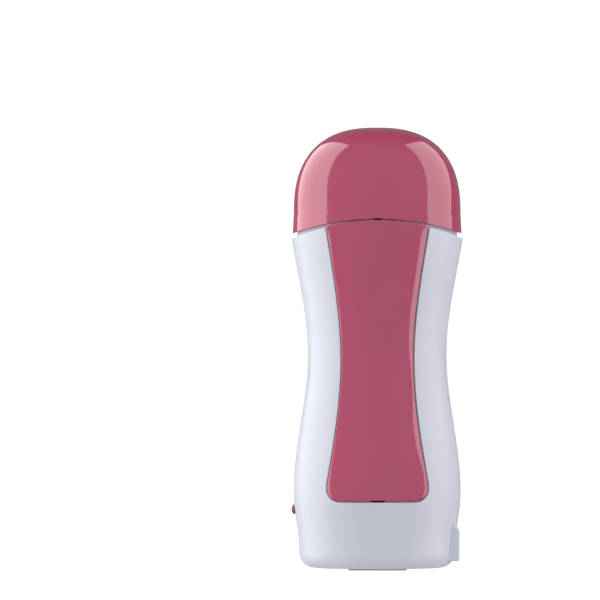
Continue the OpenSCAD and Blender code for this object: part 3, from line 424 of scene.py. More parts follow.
def ringChain(sides, rings):
    # A round skin from ring to ring; every ring is a function of the turn from the front
    bm = bmesh.new()
    turnLayer = bm.verts.layers.float.new("turn")
    ring = bmesh.ops.create_circle(bm, segments=sides, radius=1)["verts"]
    for vert in ring:
        vert[turnLayer] = math.atan2(vert.co.x, -vert.co.y)
        vert.co = rings[0](vert[turnLayer])
    edges = bm.edges[:]
    for place in rings[1:]:
        made = bmesh.ops.extrude_edge_only(bm, edges=edges)["geom"]
        edges = only(made, bmesh.types.BMEdge)
        for vert in only(made, bmesh.types.BMVert):
            vert.co = place(vert[turnLayer])
    bmesh.ops.remove_doubles(bm, verts=bm.verts, dist=0.001)
    bmesh.ops.recalc_face_normals(bm, faces=bm.faces)
    return bm


body = {
    # height, half width and lean of the side
    "stations": [(7.8, 36.2, 0), (36, 38.8, 0), (100, 32.2, 0), (153, 39.7, 0.17), (160, 40.2, 0)],
    "depth": 0.728,            # depth per width
    "edge": 7,                 # radius of the bottom edge
    "wall": 2.2,
    "middle": 90,
    "floorRings": (0.8, 0.5, 0.2),
    "seamTop": 161.4,
    "seamFall": 7.9,           # from the front to the flanks
    "seamHalf": 39.7,
    "lip": (0.3, 0.2),         # rounding of the rims, outside and inside
    "girth": 30.0,             # flat length of one radian round the body
    "columns": 60,
    "rows": 102,
    "panelCells": (12, 22),        # corner of the panel's opening in the grid
    "coverCells": (33, 21, 85),    # edge, bottom and top of the cover's opening
}


def between(rows, z):
    # The rows below and above a height, and how far it is from one to the other
    low, high = next((pair for pair in zip(rows, rows[1:]) if z <= pair[1][0]), rows[-2:])
    return low, high, min(max((z - low[0]) / (high[0] - low[0]), 0), 1)


def sideAt(stations, z):
    # Half width on a smooth curve through the stations
    low, high, t = between(stations, z)
    span = high[0] - low[0]
    return (low[1] * (2 * t**3 - 3 * t**2 + 1) + high[1] * (3 * t**2 - 2 * t**3)
            + span * (low[2] * (t**3 - 2 * t**2 + t) + high[2] * (t**3 - t**2)))


def halfWidth(z):
    return sideAt(body["stations"], z)


def arcFall(x, half, fall):
    # Drop of an arc from its middle, where it drops by fall at half
    radius = (half**2 + fall**2) / (2 * fall)
    return radius - math.sqrt(max(radius**2 - x**2, 0))


def seamAt(x, rise=0.0):
    return body["seamTop"] + rise - arcFall(x, body["seamHalf"], body["seamFall"])


def seamAtTurn(turn, rise=0.0):
    # Height and half width depend on each other, so it closes in on both
    z = body["seamTop"]
    for step in range(12):
        z = seamAt(halfWidth(z) * math.sin(turn), rise)
    return z


def onBody(turn, v, out=0.0):
    # Point of the skin for a turn from the front and a flat height, moved outwards by out
    foot, edge = body["stations"][0][0], body["edge"]
    drop = max(foot - v, 0) / edge
    width = halfWidth(max(v, foot)) - edge * (1 - math.cos(drop)) + out * math.cos(drop)
    depth = body["depth"] * (width - out * math.cos(drop)) + out * math.cos(drop)
    z = max(v, foot) - (edge + out) * math.sin(drop)
    return Vector((width * math.sin(turn), -depth * math.cos(turn), z))


def flatFromX(x, z):
    return Vector((math.asin(min(x / halfWidth(z), 1)) * body["girth"], z))


def flatFromY(y, z):
    share = -y / (body["depth"] * halfWidth(z))
    return Vector((math.acos(min(max(share, -1), 1)) * body["girth"], z))


def narrowed(low, high, isLow, steps=40):
    # Halves a range again and again, down to where isLow stops being true
    for step in range(steps):
        half = (low + high) / 2
        low, high = (half, high) if isLow(half) else (low, half)
    return low


def spread(path, count):
    # count + 1 points at even steps along a line
    runs = [0.0]
    for a, b in zip(path, path[1:]):
        runs.append(runs[-1] + (b - a).length)
    found, k = [], 0
    for step in range(count + 1):
        goal = runs[-1] * step / count
        while k < len(runs) - 2 and runs[k + 1] < goal:
            k += 1
        part = (goal - runs[k]) / max(runs[k + 1] - runs[k], 1e-9)
        found.append(path[k].lerp(path[k + 1], min(max(part, 0), 1)))
    return found


def pinned(pins, cells, path):
    for cell, point in zip(cells, spread(path, len(cells) - 1)):
        pins[cell] = point


def settledSheet(columns, rows, size, pins, cut=None, rounds=420):
    # A flat grid whose outlines are pinned; the rest settles evenly between them
    bm = bmesh.new()
    bmesh.ops.create_grid(bm, x_segments=columns, y_segments=rows, size=1)
    cells = {}
    for vert in bm.verts:
        cells[round((vert.co.x + 1) * columns / 2), round((vert.co.y + 1) * rows / 2)] = vert
    if cut:
        lost = [face for face in bm.faces if cut((face.calc_center_median().x + 1) * columns / 2,
                                                  (face.calc_center_median().y + 1) * rows / 2)]
        bmesh.ops.delete(bm, geom=lost, context="FACES")
    free, sliding = [], []
    left, right, low, high = size
    for (i, j), vert in cells.items():
        if not vert.is_valid:
            continue
        if (i, j) in pins:
            vert.co = (*pins[i, j], 0)
            continue
        vert.co = (left + (right - left) * i / columns, low + (high - low) * j / rows, 0)
        (sliding if i in (0, columns) else free).append(vert)
    for step in range(rounds):
        bmesh.ops.smooth_vert(bm, verts=free, factor=0.6, use_axis_x=True, use_axis_y=True)
        if sliding:
            bmesh.ops.smooth_vert(bm, verts=sliding, factor=0.6, use_axis_y=True)
    return bm


def wrapSheet(bm, out=0.0):
    # Lays a flat sheet on the body, out over its skin, and mirrors it
    for vert in bm.verts:
        vert.co = onBody(vert.co.x / body["girth"], vert.co.y, out)
    bmesh.ops.mirror(bm, geom=bm.verts[:] + bm.edges[:] + bm.faces[:], axis="X", merge_dist=weld)
    bmesh.ops.remove_doubles(bm, verts=bm.verts, dist=weld)
    bmesh.ops.recalc_face_normals(bm, faces=bm.faces)
    bm.normal_update()
    middle = Vector((0, 0, body["middle"]))
    outwards = sum(face.normal.dot(face.calc_center_median() - middle) for face in bm.faces)
    if outwards < 0:
        bmesh.ops.reverse_faces(bm, faces=bm.faces)
        bm.normal_update()


def giveWall(bm, depth, outerRound, innerRound, segments=3):
    # Wall inwards from an open skin, with rounded rims
    inwards = bm.verts.layers.float_vector.new("inwards")
    for vert in bm.verts:
        vert[inwards] = -vert.normal
    outer = set(bm.faces)
    made = bmesh.ops.extrude_face_region(bm, geom=bm.faces[:], use_keep_orig=True)["geom"]
    inner = set(only(made, bmesh.types.BMFace))
    for vert in only(made, bmesh.types.BMVert):
        vert.co += vert[inwards] * depth
    walls = [face for face in bm.faces if face not in outer and face not in inner]
    bmesh.ops.recalc_face_normals(bm, faces=bm.faces)
    bm.normal_update()
    for width, side in ((outerRound, outer), (innerRound, inner)):
        if not width:
            continue
        edges = set()
        for face in walls:
            if face.is_valid:
                edges.update(edge for edge in face.edges if any(f in side for f in edge.link_faces))
        roundEdges(bm, list(edges), width, segments if side is outer else 2)
        walls = [face for face in walls if face.is_valid]


panel = {
    # height, half width and lean of its side
    "stations": [(37.9, 23.3, 0), (41.9, 22.94, -0.17), (97, 16.65, 0), (160, 23.9, 0.16)],
    "bottom": 32.2,
    "corner": 5.7,
    "steps": (36, 12, 0.5),    # points along the bottom, on half a corner, and distance up the side
    "proud": 0.3,
    # how wide its surface falls along the edges and how far, on the left and by height on the right
    "leftFall": (1.2, 0.12),
    "rightFalls": [(33, (1.4, 0.15)), (46, (1.8, 0.2)), (58, (5.2, 0.65)),
                   (70, (4.6, 0.65)), (80, (2.2, 0.4)), (92, (2.0, 0.4)),
                   (106, (5.4, 0.7)), (128, (5.4, 0.7)), (160, (3.2, 0.6))],
    "flatTop": 2,              # stretch under the seam whose edge doesn't fall
    "roll": (0.45, 0.2),       # radius of the outer and the inner edge
    "skin": 1.8,
    "gap": 0.45,
    "rise": 0.6,               # of its top over the seam
    "slot": (7.0, 0.45),       # nail slot, wide and high
    "columns": 15,
    "rows": 84,
}
shelf = {"depth": 2.0, "thick": 1.4, "behind": 1.6, "columns": 16, "rows": 70}
prongs = {
    "across": 13,
    "levels": (43.0, 138.0),
    "size": (4.0, 1.4),
    "reach": 3.0,              # past the shelf
    "far": 30,
    "sink": 0.4,               # into the panel's skin
    "round": 0.25,
    "gap": 0.3,
}
notch = {"far": 60, "below": 3, "round": 0.3}      # of the tool for nail notches


def panelPath(grow, rise):
    # Right half of the outline: along the bottom to the middle of the corner, then up to the seam
    corner, level, low = panel["corner"], panel["stations"][0][0], panel["stations"][0][1]
    middle = low - corner

    def onCorner(turn):
        return (middle + (corner + grow) * math.sin(turn), level - (corner + grow) * math.cos(turn))

    straight, bend, climb = panel["steps"]
    bottom = [(middle * k / straight, panel["bottom"] - grow) for k in range(straight)]
    lower = bottom + [onCorner(math.pi / 4 * k / bend) for k in range(bend + 1)]
    upper = [onCorner(math.pi / 4 * (1 + k / bend)) for k in range(bend + 1)]
    z = level + climb
    while z < seamAt(sideAt(panel["stations"], z) + grow, rise):
        upper.append((sideAt(panel["stations"], z) + grow, z))
        z += climb
    for step in range(6):
        z = seamAt(sideAt(panel["stations"], z) + grow, rise)
    upper.append((sideAt(panel["stations"], z) + grow, z))
    return [[flatFromX(x, z) for x, z in path] for path in (lower, upper)]


def seamPath(start, end, rise=0.0, count=120):
    flats = [start + (end - start) * k / count for k in range(count + 1)]
    return [Vector((flat, seamAtTurn(flat / body["girth"], rise))) for flat in flats]


def panelSheet(grow, rise, columns, rows):
    lower, upper = panelPath(grow, rise)
    pins = {}
    pinned(pins, [(i, 0) for i in range(columns + 1)], lower)
    pinned(pins, [(columns, j) for j in range(rows + 1)], upper)
    pinned(pins, [(i, rows) for i in range(columns, -1, -1)], seamPath(upper[-1].x, 0, rise))
    return settledSheet(columns, rows, (0, upper[-1].x, panel["bottom"], body["seamTop"]), pins)


def prongBoxes(bm, grow, near, far):
    # Straight bars at the four prongs, from near to far in front of the middle plane
    wide, high = prongs["size"]
    for side in (-1, 1):
        for z in prongs["levels"]:
            x = side * prongs["across"]
            addBox(bm, (x - wide / 2 - grow, -far, z - high / 2 - grow),
                   (x + wide / 2 + grow, -near(z), z + high / 2 + grow))


def skinDepth(x, z):
    return body["depth"] * math.sqrt(halfWidth(z)**2 - x**2)


def rightFall(z):
    low, high, share = between(panel["rightFalls"], z)
    return Vector(low[1]).lerp(Vector(high[1]), share)


def notchTool(level, wide, high):
    # Cuts upwards from a level through the front, with rounded top corners
    bm = bmesh.new()
    addBox(bm, (-wide / 2, -notch["far"], level - notch["below"]), (wide / 2, 0, level + high))
    top = [edge for edge in bm.edges if all(v.co.z > level for v in edge.verts)
           and abs(edge.verts[0].co.x - edge.verts[1].co.x) < 0.01]
    roundEdges(bm, top, notch["round"], 4)
    return bm


def makePanel():
    bm = panelSheet(0, panel["rise"], panel["columns"], panel["rows"])
    edge = [vert.co.copy() for vert in bm.verts if vert.is_boundary and vert.co.x > 0.01]
    wrapSheet(bm, panel["proud"])
    # The surface falls towards the sides and the bottom, wider on the right
    moves = {}
    for vert in bm.verts:
        x, z = vert.co.x, vert.co.z
        spot = flatFromX(abs(x), z).to_3d()
        near = min((spot - point).length for point in edge if point.y < seamAt(x) - panel["flatTop"])
        width, depth = rightFall(z) if x > 0 else panel["leftFall"]
        moves[vert] = vert.normal * -depth * max(1 - near / width, 0)**2
    for vert, move in moves.items():
        vert.co += move
    bm.normal_update()
    giveWall(bm, panel["skin"], *panel["roll"], segments=5)
    piece = solidOf(bm, "frontPanel")
    combine(piece, notchTool(panel["bottom"], *panel["slot"]))
    bars = bmesh.new()
    prongBoxes(bars, 0, lambda z: skinDepth(prongs["across"], z) - shelf["depth"] - shelf["thick"]
               - prongs["reach"], prongs["far"])
    # The bars end inside the panel's skin
    for vert in bars.verts:
        if vert.co.y < 1 - prongs["far"]:
            vert.co.y = -(skinDepth(abs(vert.co.x), vert.co.z) - panel["skin"] + prongs["sink"])
    roundEdges(bars, sharpEdges(bars), prongs["round"], 2)
    combine(piece, bars, "UNION")
    finishPiece(piece, "pink_plastic", "panel", "front_panel")


cover = {
    "centre": (59.55, 88.0),   # of the bowed outline, behind the middle plane and up
    "radius": 66.05,
    "gap": 0.4,
    "skin": 1.8,
    "land": (1.6, 7.0),        # shelf behind the shell and under the cover
    "screws": (13.0, (38.5, 137.5)),
    "seatDrop": 4.0,           # from the skin to the seat of a boss
    # round a screw: radius, start and end behind the seat
    "plug": (3.3, 0, 3.0),
    "recess": (2.85, 1.4, 12),
    "hole": (1.7, -1, 3),
    "boss": (4.5, -4, 1.6),
    "seat": (3.6, 0, 6),
    "pilot": (1.5, -3.5, 1),
    "columns": 28,
    "rows": 64,
    "landRows": 120,
    "landLanes": 6,
}


def bowPath(grow, count=160):
    # Outline of the cover from the bottom middle to the top middle, on the right
    cy, cz = cover["centre"]
    radius = cover["radius"] + grow

    def point(turn):
        return cy - radius * math.cos(turn), cz + radius * math.sin(turn)

    def isInside(turn):
        y, z = point(turn)
        return y < body["depth"] * halfWidth(z)

    start = -narrowed(0, math.pi / 2, lambda turn: isInside(-turn))
    end = narrowed(0, math.pi / 2, isInside)
    path = [point(start + (end - start) * k / count) for k in range(count + 1)]
    line = [flatFromY(y, z) for y, z in path]
    line[0].x = line[-1].x = math.pi * body["girth"]
    return line


def screwSpots(behind):
    across, levels = cover["screws"]
    return [(side * across, skinDepth(across, z) - cover["seatDrop"] + behind, z)
            for side in (-1, 1) for z in levels]


def screwRods(kind, segments=32):
    radius, start, end = cover[kind]
    bm = bmesh.new()
    for ends in zip(screwSpots(start), screwSpots(end)):
        addRod(bm, *ends, radius, segments=segments)
    return bm


def makeCover():
    columns, rows = cover["columns"], cover["rows"]
    pins = {}
    ring = [(columns - i, 0) for i in range(columns)] + [(0, j) for j in range(rows)]
    ring += [(i, rows) for i in range(columns + 1)]
    path = bowPath(-cover["gap"])
    pinned(pins, ring, path)
    middle = path[len(path) // 2].x
    bm = settledSheet(columns, rows, (middle, math.pi * body["girth"], path[0].y, path[-1].y), pins)
    wrapSheet(bm)
    giveWall(bm, cover["skin"], *body["lip"])
    piece = solidOf(bm, "rearCover")
    combine(piece, screwRods("plug"), "UNION")
    combine(piece, screwRods("recess", 40))
    combine(piece, screwRods("hole"))
    finishPiece(piece, "white_plastic", "body", "rear_cover")


inlet = {
    "height": 11.4,
    "face": 38.216,
    "mould": (18.6, 10.6, 2.0),        # wide, high, corner radius
    "boss": (21.0, 4.0, 18.8),         # wide, bottom, top
    "bossRound": 1.0,
    "fit": 0.2,
    "back": 29.6,
    "flange": (1.6, 1.4),              # thick, and how far past the mould
    "deep": 11.0,
    "floor": 2.0,
    "rounds": (4.2, 8.2),              # radius of the two rounds and their reach from the middle
    "between": (4, 2.8),               # half sizes of what joins them
    "leadIn": (0.5, 0.65),             # deep, and wider at the face
    "pin": (4.3, 1.45),                # place and radius of the pins' holes
    "round": 0.35,
}
lens = {
    "height": 28.0,
    "width": 4.8,
    "proud": 1.5,
    "out": 39.79,
    "flange": (34.39, 3.8, 1.2),       # face, radius and thickness
    "hole": (25, 45),                  # reach of the tool for its hole
    "fit": 0.1,
}
feet = {"size": (27.0, 4.0), "away": 15.0, "proud": 0.8, "sink": 0.8, "fit": 0.2, "round": 0.25}
posts = {"across": 14.0, "along": 10.5, "width": 7.0, "foot": 2, "top": 38.0, "plateTop": 39.2}


def postSpots(z):
    return [(sx * posts["across"], sy * posts["along"], z) for sx in (-1, 1) for sy in (-1, 1)]


def addFeet(bm, grow):
    # Long pads with round ends
    long, wide = feet["size"]
    reach = (long - wide) / 2
    for y in (-feet["away"], feet["away"]):
        for vert in addRod(bm, (0, y, 0), (0, y, feet["proud"] + feet["sink"]), (wide + grow) / 2):
            vert.co.x += reach if vert.co.x > 0.001 else (-reach if vert.co.x < -0.001 else 0)


def addInletBlock(bm, start, end, grow):
    wide, high, corner = inlet["mould"]
    z = inlet["height"]
    verts = addBox(bm, (start, -wide / 2 - grow, z - high / 2 - grow),
                   (end, wide / 2 + grow, z + high / 2 + grow))
    long = [edge for edge in {e for v in verts for e in v.link_edges}
            if abs(edge.verts[0].co.x - edge.verts[1].co.x) > 0.1]
    roundEdges(bm, long, corner + grow, 6)


def bossSolid():
    wide, bottom, top = inlet["boss"]
    start, face = inlet["back"], inlet["face"]
    bm = bmesh.new()
    for vert in addBox(bm, (start, -wide / 2, bottom), (face, wide / 2, top)):
        if vert.co.x < start + 0.1 and vert.co.z > top - 0.1:
            vert.co.z += face - start          # its top slopes up to the body
    front = [edge for edge in bm.edges if max(v.co.x for v in edge.verts) > face - 0.1]
    roundEdges(bm, front, inlet["bossRound"], 5)
    return bm


def panelShelf():
    # Ledge round the panel's pocket, with windows for the prongs and behind the nail slot
    bm = panelSheet(panel["gap"] + shelf["behind"], 0, shelf["columns"], shelf["rows"])
    wrapSheet(bm, -shelf["depth"])
    giveWall(bm, shelf["thick"], 0, 0)
    piece = solidOf(bm, "panelShelf")
    slots = bmesh.new()
    near, far, gap = 5, notch["far"], prongs["gap"]
    prongBoxes(slots, gap, lambda z: near, far)
    wide, high = panel["slot"]
    addBox(slots, (-wide / 2, -far, panel["bottom"] - gap), (wide / 2, -near, panel["bottom"] + high + gap))
    combine(piece, slots)
    return piece


def rearLand():
    # Ring that the cover lies on
    rows, lanes = cover["landRows"], cover["landLanes"]
    behind, under = cover["land"]
    bm = bmesh.new()
    bmesh.ops.create_grid(bm, x_segments=rows, y_segments=lanes, size=1)
    lines = [bowPath(behind - (behind + under) * k / lanes, rows) for k in range(lanes + 1)]
    for vert in bm.verts:
        along, lane = round((vert.co.x + 1) * rows / 2), round((vert.co.y + 1) * lanes / 2)
        vert.co = (*lines[lane][along], 0)
    wrapSheet(bm, -shelf["depth"])
    giveWall(bm, shelf["thick"], 0, body["lip"][1])
    piece = solidOf(bm, "rearLand")
    combine(piece, screwRods("boss"), "UNION")
    combine(piece, screwRods("seat"))
    combine(piece, screwRods("pilot"))
    return piece


def joinInto(piece, *others):
    # Adds meshes that touch it to a piece's own mesh
    bm = bmesh.new()
    for part in (piece, *others):
        bm.from_mesh(part.data)
    bm.to_mesh(piece.data)
    bm.free()
    for part in others:
        bpy.data.objects.remove(part)


def makeHousing():
    columns, rows = body["columns"], body["rows"]
    back = math.pi * body["girth"]
    low = body["stations"][0][0] - body["edge"] * math.pi / 2
    side, foot = body["panelCells"]
    edge, bottom, top = body["coverCells"]
    pins = {}
    pinned(pins, [(i, 0) for i in range(columns + 1)], [Vector((0, low)), Vector((back, low))])
    lower, upper = panelPath(panel["gap"], 0)
    pinned(pins, [(i, foot) for i in range(side + 1)], lower)
    pinned(pins, [(side, j) for j in range(foot, rows + 1)], upper)
    pinned(pins, [(i, rows) for i in range(side, columns + 1)], seamPath(upper[-1].x, back))
    ring = [(i, bottom) for i in range(columns, edge, -1)] + [(edge, j) for j in range(bottom, top)]
    ring += [(i, top) for i in range(edge, columns + 1)]
    pinned(pins, ring, bowPath(0))
    bm = settledSheet(columns, rows, (0, back, low, body["seamTop"]), pins,
                      lambda i, j: (i < side and j > foot) or (i > edge and bottom < j < top))
    wrapSheet(bm)
    # The floor closes the bottom edge
    rim = [line for line in bm.edges if line.is_boundary and max(v.co.z for v in line.verts) < 2]
    for share in body["floorRings"]:
        made = bmesh.ops.extrude_edge_only(bm, edges=rim)["geom"]
        rim = only(made, bmesh.types.BMEdge)
        for vert in only(made, bmesh.types.BMVert):
            turn = math.atan2(vert.co.x, -vert.co.y / body["depth"])
            spot = onBody(turn, low)
            vert.co = (spot.x * share, spot.y * share, spot.z)
    bmesh.ops.contextual_create(bm, geom=rim)
    bmesh.ops.recalc_face_normals(bm, faces=bm.faces)
    bm.normal_update()
    if sum(face.normal.z * face.calc_area() for face in bm.faces if face.calc_center_median().z < 3) > 0:
        bmesh.ops.reverse_faces(bm, faces=bm.faces)
        bm.normal_update()
    giveWall(bm, body["wall"], *body["lip"])
    piece = solidOf(bm, "bodyShell")
    combine(piece, bossSolid(), "UNION")
    tools = bmesh.new()
    addInletBlock(tools, inlet["back"] - 4, inlet["face"] + 2, inlet["fit"])
    near, far = lens["hole"]
    addRod(tools, (-near, 0, lens["height"]), (-far, 0, lens["height"]), lens["width"] / 2 + lens["fit"])
    addFeet(tools, feet["fit"])
    combine(piece, tools)
    inside = bmesh.new()
    for ends in zip(postSpots(posts["foot"]), postSpots(posts["top"])):
        addRod(inside, *ends, posts["width"] / 2)
    joinInto(piece, panelShelf(), rearLand(), solidOf(inside, "posts"))
    finishPiece(piece, "white_plastic", "body", "housing")


collar = {
    "foot": (148.9, 36.6),
    "flank": (153.0, 37.2),
    "top": (168.0, 36.6),
    "wall": 1.8,
    "deck": (165.0, 163.0),
    "tubeFoot": 152.0,
    "tube": (1.0, 2.6),        # how far its walls lie outside the bay
    "reference": 39.7,         # half width whose depth the ovals follow
    "pocket": (4.2, 161.8, 163.2, 2.6),    # window behind the cap's nail notch: wide, from, to, deep
    "round": 0.4,
    "roundFrom": 162,          # height over which its edges are rounded
    "overShelf": 0.2,          # gap over and beside the panel's shelf
    "sides": 144,
}
bay = {"size": (50.0, 30.0), "corner": 12.2}


def oval(radius, z, inset, reach=None):
    # Ring of an oval that lies inset inside a wider one; reach bends its height
    depth = (radius + inset) * body["depth"] - inset

    def place(turn):
        height = z if reach is None else reach(radius * math.sin(turn), z)
        return Vector((radius * math.sin(turn), -depth * math.cos(turn), height))
    return place


def bayRing(grow, z):
    # Ring of the rounded rectangle round the bay
    half = [size / 2 + grow for size in bay["size"]]
    corner = bay["corner"] + grow

    def place(turn):
        way = Vector((math.sin(turn) * half[0], -math.cos(turn) * half[1]))

        def isInside(scale):
            over = Vector((max(abs(way.x) * scale - half[0] + corner, 0),
                           max(abs(way.y) * scale - half[1] + corner, 0)))
            return over.length < corner

        scale = narrowed(0, 2, isInside)
        return Vector((way.x * scale, way.y * scale, z))
    return place


def makeCollar():
    def neckAt(z):
        (low, a), (high, b) = collar["flank"], collar["top"]
        return a + (b - a) * (z - low) / (high - low)

    def overShelf(x, z):
        # Its foot stays above the panel's shelf
        gap = collar["overShelf"]
        clear = abs(x) > panel["stations"][-1][1] + panel["gap"] + gap
        return z if clear else max(z, seamAt(x, gap))

    wall, reference = collar["wall"], collar["reference"]
    foot, footR = collar["foot"]
    flank, flankR = collar["flank"]
    top, topR = collar["top"]
    deck, under = collar["deck"]
    inner, outer = collar["tube"]
    out = reference - flankR
    rings = [oval(footR, foot, out, overShelf), oval(flankR, flank, out, overShelf), oval(topR, top, out),
             oval(topR - wall, top, out + wall), oval(neckAt(deck) - wall, deck, out + wall),
             bayRing(0, deck), bayRing(0, under), bayRing(inner, under),
             bayRing(inner, collar["tubeFoot"]), bayRing(outer, collar["tubeFoot"]), bayRing(outer, under),
             oval(neckAt(under) - wall, under, out + wall),
             oval(flankR - wall, flank, out + wall, overShelf),
             oval(footR - wall, foot, out + wall, overShelf)]
    rings.append(rings[0])
    bm = ringChain(collar["sides"], rings)
    edges = [edge for edge in sharpEdges(bm) if min(v.co.z for v in edge.verts) > collar["roundFrom"]]
    roundEdges(bm, edges, collar["round"], 4)
    piece = solidOf(bm, "neckCollar")
    pocket = bmesh.new()
    wide, low, high, deep = collar["pocket"]
    front = reference * body["depth"] - out
    addBox(pocket, (-wide / 2, -front - 2, low), (wide / 2, -front + deep, high))
    combine(piece, pocket)
    finishPiece(piece, "collar_plastic", "body", "neck_collar")


cap = {
    "rim": (39.2, 162.35, 6.55),   # half width, height at the front, fall to the flanks
    "start": (38.7, 165.0),        # where the dome begins
    "rise": 40.0,
    "power": 2.5,
    "wall": 2.2,
    "inside": 0.93,                # how far towards the start the dome runs inside
    "neck": (36.9, 37.35, 37.5),   # half widths inside at the seat and the rim, and what they follow
    "seat": (168.2, 35.4),
    "seatSteps": ((0.9, 2.4), (0, 1.2), (0, 0)),   # wider by, and over the seat, from above
    "rimRound": 0.45,
    "notch": (3.8, 0.5),
    "sides": 160,
    "steps": 34,
}


def makeCap():
    rimR, rimZ, fall = cap["rim"]
    startR, startZ = cap["start"]
    wall = cap["wall"]
    seatZ, seatR = cap["seat"]

    def rimAt(x):
        return rimZ - arcFall(x, rimR, fall)

    def domeRing(share, t):
        # One ring of the dome, t inside its surface; share runs from the crown to the start
        turn = math.pi / 2 * (1 - share)
        power = 2 / cap["power"]
        radius = (startR - t) * max(math.cos(turn), 0)**power
        z = startZ + (cap["rise"] - t) * math.sin(turn)**power
        ratio = (rimR * body["depth"] - t) / (rimR - t)
        return lambda a: Vector((radius * math.sin(a), -radius * ratio * math.cos(a), z))

    def skirtRing(share, topR, footR, topZ, inset):
        # share runs from the rim up to where the skirt ends
        radius = footR + (topR - footR) * share
        depth = (radius + inset) * body["depth"] - inset

        def place(a):
            x = radius * math.sin(a)
            return Vector((x, -depth * math.cos(a), rimAt(x) + (topZ - rimAt(x)) * share))
        return place

    steps = cap["steps"]
    # Rings crowd towards the crown and the shoulder, where the dome bends most
    shares = [(1 - math.cos(math.pi * k / steps)) / 2 for k in range(steps + 1)]
    rings = [domeRing(share, wall) for share in shares if share < cap["inside"]]
    seatInset = rimR - seatR
    rings += [oval(seatR + wider, seatZ + up, seatInset - wider) for wider, up in cap["seatSteps"]]
    neckIn, footIn, follows = cap["neck"]
    inset = collar["reference"] - follows
    rings.append(oval(neckIn, seatZ, inset))
    rings += [skirtRing(share, neckIn, footIn, seatZ, inset) for share in (0.75, 0.5, 0.25, 0)]
    rings += [skirtRing(share, startR, rimR, startZ, 0) for share in (0, 0.2, 0.4, 0.6, 0.8)]
    rings += [domeRing(share, 0) for share in reversed(shares)]
    bm = ringChain(cap["sides"], rings)
    rim = [edge for edge in sharpEdges(bm, 50) if max(v.co.z for v in edge.verts) < rimZ + 0.1]
    roundEdges(bm, rim, cap["rimRound"], 4)
    piece = solidOf(bm, "capShell")
    combine(piece, notchTool(rimZ, *cap["notch"]))
    finishPiece(piece, "pink_plastic", "cap", "cap")


coverScrew = {
    "width": 5.2,
    "high": 1.6,
    "dome": 0.35,
    "cross": (3.1, 0.8, 0.8),  # long, wide and deep
    "thread": 2.9,
    "long": 4.2,
}
seatScrew = {"width": 5.0, "high": 1.2, "dome": 0.2, "cross": (3.0, 0.8, 0.6), "thread": 2.8, "long": 10.5}
screwForm = {
    "crown": 0.92,             # width of the dome against the head
    "edge": 0.15,
    "ridge": (0.35, 0.28),     # from a crest to a root: along the shank and inwards
    "tip": 0.2,
    "sides": 32,
}


def makeScrews(name, node, screw, spots, axis):
    # Pan heads with a cross and a ridged shank; spots are the undersides of the heads
    axis = Vector(axis)
    across = Vector((1, 0, 0))
    other = axis.cross(across)
    half, high, dome, long = screw["width"] / 2, screw["high"], screw["dome"], screw["long"]
    shank, crown, edge = screw["thread"] / 2, half * screwForm["crown"], screwForm["edge"]
    step, deep = screwForm["ridge"]
    angles = [t * math.pi / 12 for t in range(1, 6)]
    outline = [(0, high)] + [(crown * math.sin(a), high - dome * (1 - math.cos(a))) for a in angles]
    outline += [(half, high - dome - edge), (half, 0.1), (half - edge, 0), (shank, 0)]
    outline += [(shank - deep * (k % 2), -step * k) for k in range(1, int(long / step))]
    outline += [(0, -long - screwForm["tip"])]
    bm, tools = bmesh.new(), bmesh.new()
    for spot in spots:
        part = bmesh.new()
        spinProfile(part, outline, spot, axis, across, screwForm["sides"])
        mesh = bpy.data.meshes.new("part")
        part.to_mesh(mesh)
        part.free()
        bm.from_mesh(mesh)
        bpy.data.meshes.remove(mesh)
        wide, slim, sunk = screw["cross"]
        for a, b in ((wide, slim), (slim, wide)):
            matrix = Matrix((across * a, other * b, axis * sunk * 2)).transposed().to_4x4()
            matrix.translation = Vector(spot) + axis * high
            bmesh.ops.create_cube(tools, size=1, matrix=matrix)
    bmesh.ops.recalc_face_normals(tools, faces=tools.faces)
    piece = solidOf(bm, name)
    combine(piece, tools, crossing=True)
    finishPiece(piece, "screw_steel", "body", node)


def makeLens():
    # Domed button with a flange behind the wall
    bm = bmesh.new()
    half, out, proud = lens["width"] / 2, lens["out"], lens["proud"]
    pad, wide, thick = lens["flange"]
    angles = [t * math.pi / 20 for t in range(10)]
    outline = [(0, pad - thick), (wide, pad - thick), (wide, pad), (half, pad)]
    outline += [(half * math.cos(a), out - proud + proud * math.sin(a)) for a in angles]
    outline.append((0, out))
    spinProfile(bm, outline, (0, 0, lens["height"]), (-1, 0, 0), (0, 1, 0))
    piece = solidOf(bm, "indicatorLens")
    finishPiece(piece, "lens_plastic", "body", "indicator_lens")


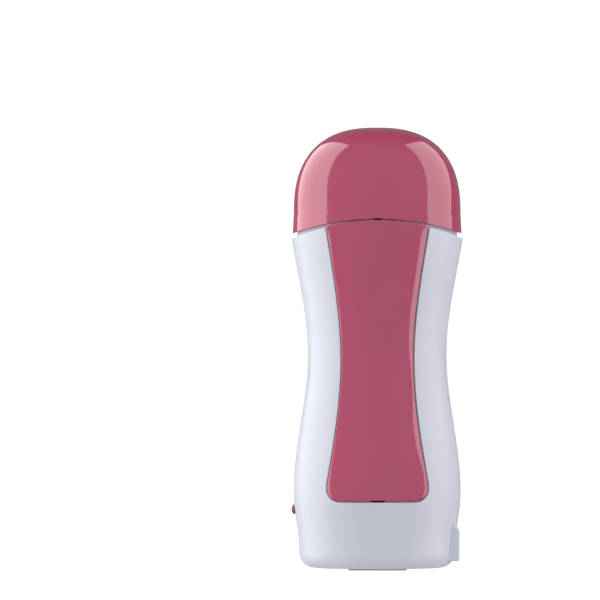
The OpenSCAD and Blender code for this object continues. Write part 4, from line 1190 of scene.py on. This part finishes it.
def makeInlet():
    # Moulding with the two-round opening around the pins
    face, deep, z = inlet["face"], inlet["deep"], inlet["height"]
    bm = bmesh.new()
    addInletBlock(bm, face - deep - inlet["floor"], face, 0)
    edges = [edge for edge in sharpEdges(bm, 60) if min(v.co.x for v in edge.verts) > face - 0.1]
    roundEdges(bm, edges, inlet["round"])
    piece = solidOf(bm, "inletBody")
    thick, past = inlet["flange"]
    flange = bmesh.new()
    addInletBlock(flange, inlet["back"] - thick, inlet["back"], past)
    combine(piece, flange, "UNION")
    radius, reach = inlet["rounds"]
    leadIn, wider = inlet["leadIn"]
    pinAway, pinRadius = inlet["pin"]
    for side in (-1, 1):
        y, pinY = side * (reach - radius), side * pinAway
        for rod in (((face - deep, y, z), (face + 1, y, z), radius, radius, 40),
                    ((face - leadIn, y, z), (face + 0.3, y, z), radius - 0.15, radius + wider, 40),
                    ((face - deep - 3, pinY, z), (face - deep + 1, pinY, z), pinRadius)):
            tool = bmesh.new()
            addRod(tool, *rod)
            combine(piece, tool)
    half, up = inlet["between"]
    tool = bmesh.new()
    addBox(tool, (face - deep, -half, z - up), (face + 1, half, z + up))
    combine(piece, tool)
    finishPiece(piece, "inlet_plastic", "body", "inlet_body")


def makeFeet():
    bm = bmesh.new()
    addFeet(bm, 0)
    under = [edge for edge in sharpEdges(bm, 60) if max(v.co.z for v in edge.verts) < 0.1]
    roundEdges(bm, under, feet["round"])
    piece = solidOf(bm, "footPads")
    finishPiece(piece, "foot_rubber", "body", "foot_pads")


makeHousing()
print("housing is done")
makeCover()
print("rear cover is done")
makePanel()
print("front panel is done")
makeCollar()
makeCap()
print("collar and cap are done")
makeScrews("coverScrews", "rear_cover_screws", coverScrew, screwSpots(cover["recess"][1]), (0, 1, 0))
makeScrews("seatScrews", "seat_screws", seatScrew, postSpots(posts["plateTop"]), (0, 0, 1))
makeLens()
makeInlet()
makeFeet()
print("small fittings are done")

for entry in frame["record"]["materials"]:
    for node in entry.get("nodes", []):
        packed = frame["nodes"][node]
        if packed.hide_render:
            continue
        packed.data.materials.clear()
        packed.data.materials.append(finishes[entry["slot"]])
print("packed parts are finished")

bpy.context.view_layer.update()
